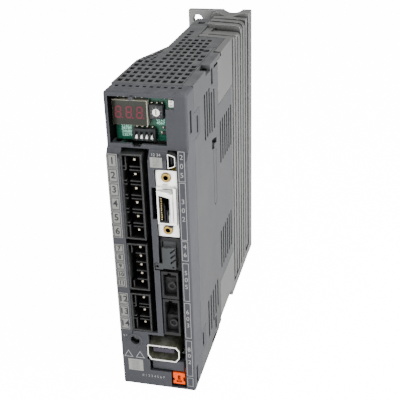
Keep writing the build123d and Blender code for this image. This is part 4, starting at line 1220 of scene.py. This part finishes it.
@dataclass
class SignalPorts:
    """Service port, signal connector, safety plug and the two optical ports."""

    contact_x: Span = (25.95, 26.6)
    contact_z: float = 102.9
    contact_pitch: float = 1.22
    contacts: int = 10
    ridges: Tuple[Block, ...] = (((30.75, 32.1), (0.1, 0.26), (101.8, 115.3)),
                                 ((32.5, 33.95), (0.08, 0.26), (101.9, 120.2)))
    latch_box: Block = ((26.7, 32.0), (0.06, 0.3), (117.0, 119.0))
    lines: Tuple[Block, ...] = (((30.48, 30.7), (0.07, 0.2), (101.8, 115.6)),
                                ((32.15, 32.42), (0.07, 0.2), (102.2, 117.2)),
                                ((24.4, 33.8), (0.34, 0.5), (120.45, 120.75)),
                                ((27.3, 29.9), (0.33, 0.5), (121.5, 121.9)),
                                ((24.5, 29.0), (0.07, 0.3), (100.65, 100.85)))
    notch_box: Block = ((29.6, 31.8), (0.3, 0.6), (99.2, 100.55))
    wall_box: Block = ((28.9, 30.05), (0.72, 6.0), (101.8, 114.4))

    def build(self) -> None:
        """Model and dress the ports from the top down."""
        # The service port's shell behind its bright rim is painted black as shade.
        rimmed("service_port", Finishes.NICKEL, Finishes.CONNECTOR, 0.5)
        eased("service_port_tongue", Finishes.CONNECTOR, 0.15)
        self.connector()
        eased("safety_port", Finishes.CONNECTOR, 0.15)
        eased("safety_plug", Finishes.PLUG, 0.25, 3)
        for letter in "ab":
            eased(f"optical_port_{letter}", Finishes.CONNECTOR, 0.18)
            eased(f"dust_cap_{letter}", Finishes.CAP, 0.14)

    def connector(self) -> None:
        """Signal connector with one row of gold contacts and its two threaded posts."""
        eased("io_shell", Finishes.NICKEL, 0.09)
        eased("io_insert", Finishes.CONNECTOR, 0.12)
        eased("jack_screws", Finishes.BRASS, 0.14)
        low, high = self.contact_x
        first = add_box("contact_0", (low, high), (1.35, 6.5),
                        (self.contact_z - 0.26, self.contact_z + 0.26))
        draw_out(first, Side.FRONT, 0.35, (0.7, 1.0, 0.6))
        round_edges(first, 0.06)
        shifts = [(0, 0, i * self.contact_pitch) for i in range(1, self.contacts)]
        show(repeat(first, "signal_contacts", shifts), Finishes.GOLD, HOUSING, "io_contacts")
        self.shell_details()

    def shell_details(self) -> None:
        """Ridge, hood and latch on the shell, its bend lines and the wall inside the port; the
        latch and lines are in dark nickel as painted shade.
        """
        ridges = [add_box(f"ridge_{i}", *box) for i, box in enumerate(self.ridges)]
        for ridge in ridges:
            sink_side(ridge, Side.FRONT, 0.25, -0.015)
            round_edges(ridge, 0.05)
        show(join(ridges, "shell_ridges"), Finishes.NICKEL)
        latch = add_box("shell_latch", *self.latch_box)
        draw_out(latch, Side.TOP, 0.35, (0.94, 0.6, 1.0))
        sink_side(latch, Side.FRONT, 0.3, 0.05)
        show(round_edges(latch, 0.04), Finishes.LATCH)
        lines = [add_box(f"line_{i}", *box) for i, box in enumerate(self.lines)]
        for line in lines:
            sink_side(line, Side.FRONT, 0.05, 0.02)
        show(join(lines, "shell_lines"), Finishes.LATCH)
        notch = add_box("shell_notch", *self.notch_box)
        draw_out(notch, Side.FRONT, 0.02, (0.95, 1.0, 0.9))
        show(notch, Finishes.CONNECTOR)
        wall = add_box("port_wall", *self.wall_box)
        draw_out(wall, Side.FRONT, 0.1, (0.8, 1.0, 0.99))
        show(round_edges(wall, 0.06), Finishes.PORT_WALL)


@dataclass
class LowerPorts:
    """Encoder port, blank panel, battery connector and the charge lamp."""

    contact_x: float = 19.0
    contact_pitch: float = 1.7
    contacts: int = 6

    def build(self) -> None:
        """Model and dress the ports."""
        # The encoder shell behind its bright rim is painted dark olive as shade.
        rimmed("encoder_shell", Finishes.NICKEL, Finishes.OLIVE, 0.6)
        eased("encoder_insert", Finishes.INSERT, 0.12)
        first = add_box("spring_0", (self.contact_x - 0.3, self.contact_x + 0.3), (2.4, 11.4),
                        (26.4, 26.55))
        draw_out(first, Side.FRONT, 0.25, (0.7, 1.0, 0.6))
        round_edges(first, 0.03)
        shifts = [(i * self.contact_pitch, 0, 0) for i in range(1, self.contacts)]
        show(repeat(first, "encoder_springs", shifts), Finishes.GOLD)
        eased("blank_panel", Finishes.COVER, 0.2)
        eased("battery_connector", Finishes.ORANGE, 0.25, 3)
        eased("charge_lamp", Finishes.LENS, 0.1)


@dataclass
class Inside:
    """Boards, power parts and fasteners inside the casing, which keep their packed shapes."""

    def build(self) -> None:
        """Give every remaining node the finish of its slot."""
        done = {name for name, node in frame["nodes"].items()
                if node.hide_render or name in DRESSED}
        by_slot: Dict[str, Finish] = {}
        for finish in vars(Finishes).values():
            if isinstance(finish, Finish) and not finish.title:
                by_slot[finish.slot] = finish
        for row in frame["record"]["subparts"]:
            if row["node"] not in done:
                dress_node(row["node"], by_slot[row["material_slot"]])


@dataclass
class Studio:
    """Floor, lights and camera. Lengths are in metres and angles in degrees."""

    eye: Place = (0.10853, -0.41070, 0.27572)
    azimuth: float = 14.27
    elevation: float = 25.49
    roll: float = -1.78
    lens: float = 71.46
    floor_size: float = 6.0
    backlight: float = 14.0
    sky: float = 0.85
    target: Place = (0, 0, 0.08)
    lamps: Tuple[Tuple[str, Place, float, float], ...] = (
        ("key", (0.75, -0.25, 0.45), 0.7, 19.0), ("front", (-0.25, -0.9, 0.4), 0.8, 10.0),
        ("top", (-0.1, 0.1, 0.9), 0.8, 1.5))

    def build(self) -> None:
        """Set up the whole studio."""
        self.floor()
        self.lights()
        self.camera()

    def strength(self, wiring: Wiring, base: float) -> Socket:
        """A base strength of light, with the backlight added where the camera looks at it."""
        seen = wiring.add("LightPath").outputs["Is Camera Ray"]
        return wiring.add("Math", {0: seen, 1: self.backlight, 2: base},
                          operation="MULTIPLY_ADD").outputs[0]

    def floor(self) -> None:
        """A flat pale sheet that glows only for the camera."""
        deselect_all()
        bpy.ops.mesh.primitive_plane_add(size=self.floor_size, location=(0, 0, -0.0002))
        sheet = bpy.context.object
        sheet.name = "floor"
        settle(sheet)
        material = bpy.data.materials.new("floor_paper")
        material.use_nodes = True
        paper = material.node_tree.nodes["Principled BSDF"]
        paper.inputs["Base Color"].default_value = (0.92, 0.92, 0.92, 1)
        paper.inputs["Roughness"].default_value = 0.9
        wiring = Wiring(material.node_tree)
        glow = wiring.add("Emission", {"Strength": self.strength(wiring, 0.0)})
        both = wiring.add("AddShader", {0: paper.outputs[0], 1: glow.outputs[0]})
        surface = material.node_tree.nodes["Material Output"].inputs["Surface"]
        material.node_tree.links.new(both.outputs[0], surface)
        sheet.data.materials.append(material)

    def area(self, name: str, place: Place, size: float, power: float) -> None:
        """Add one soft square light that looks at the target."""
        deselect_all()
        bpy.ops.object.light_add(type="AREA", location=place)
        lamp = bpy.context.object
        lamp.name = name
        lamp.data.size = size
        lamp.data.energy = power
        away = Vector(place) - Vector(self.target)
        lamp.rotation_euler = away.to_track_quat("Z", "Y").to_euler()

    def lights(self) -> None:
        """White surroundings with a large key light from the right."""
        world = bpy.data.worlds.new("white_room")
        world.use_nodes = True
        room = world.node_tree.nodes["Background"].inputs
        room["Color"].default_value = (1, 1, 1, 1)
        wiring = Wiring(world.node_tree)
        world.node_tree.links.new(self.strength(wiring, self.sky), room["Strength"])
        bpy.context.scene.world = world
        for lamp in self.lamps:
            self.area(*lamp)

    def camera(self) -> None:
        """The camera, a little above the drive and to its right."""
        deselect_all()
        bpy.ops.object.camera_add(location=self.eye)
        camera = bpy.context.object
        camera.name = "camera"
        camera.data.lens = self.lens
        camera.data.sensor_width = 36.0
        camera.data.clip_start = 0.01
        turn = Euler((math.radians(90 - self.elevation), 0, math.radians(self.azimuth)))
        roll = Euler((0, 0, math.radians(self.roll)))
        camera.rotation_euler = (turn.to_matrix() @ roll.to_matrix()).to_euler()
        bpy.context.scene.camera = camera


def main() -> None:
    """Build every sub-assembly in order."""
    logging.basicConfig(level=logging.INFO, format="%(name)s %(message)s")
    for part in (Casing(), HeatSink(), PowerHeaders(), TerminalStrip(), DisplayPanel(),
                 SignalPorts(), LowerPorts(), Inside()):
        LOG.info("building %s", type(part).__name__)
        part.build()
    Studio().build()


if __name__ == "__main__":
    main()
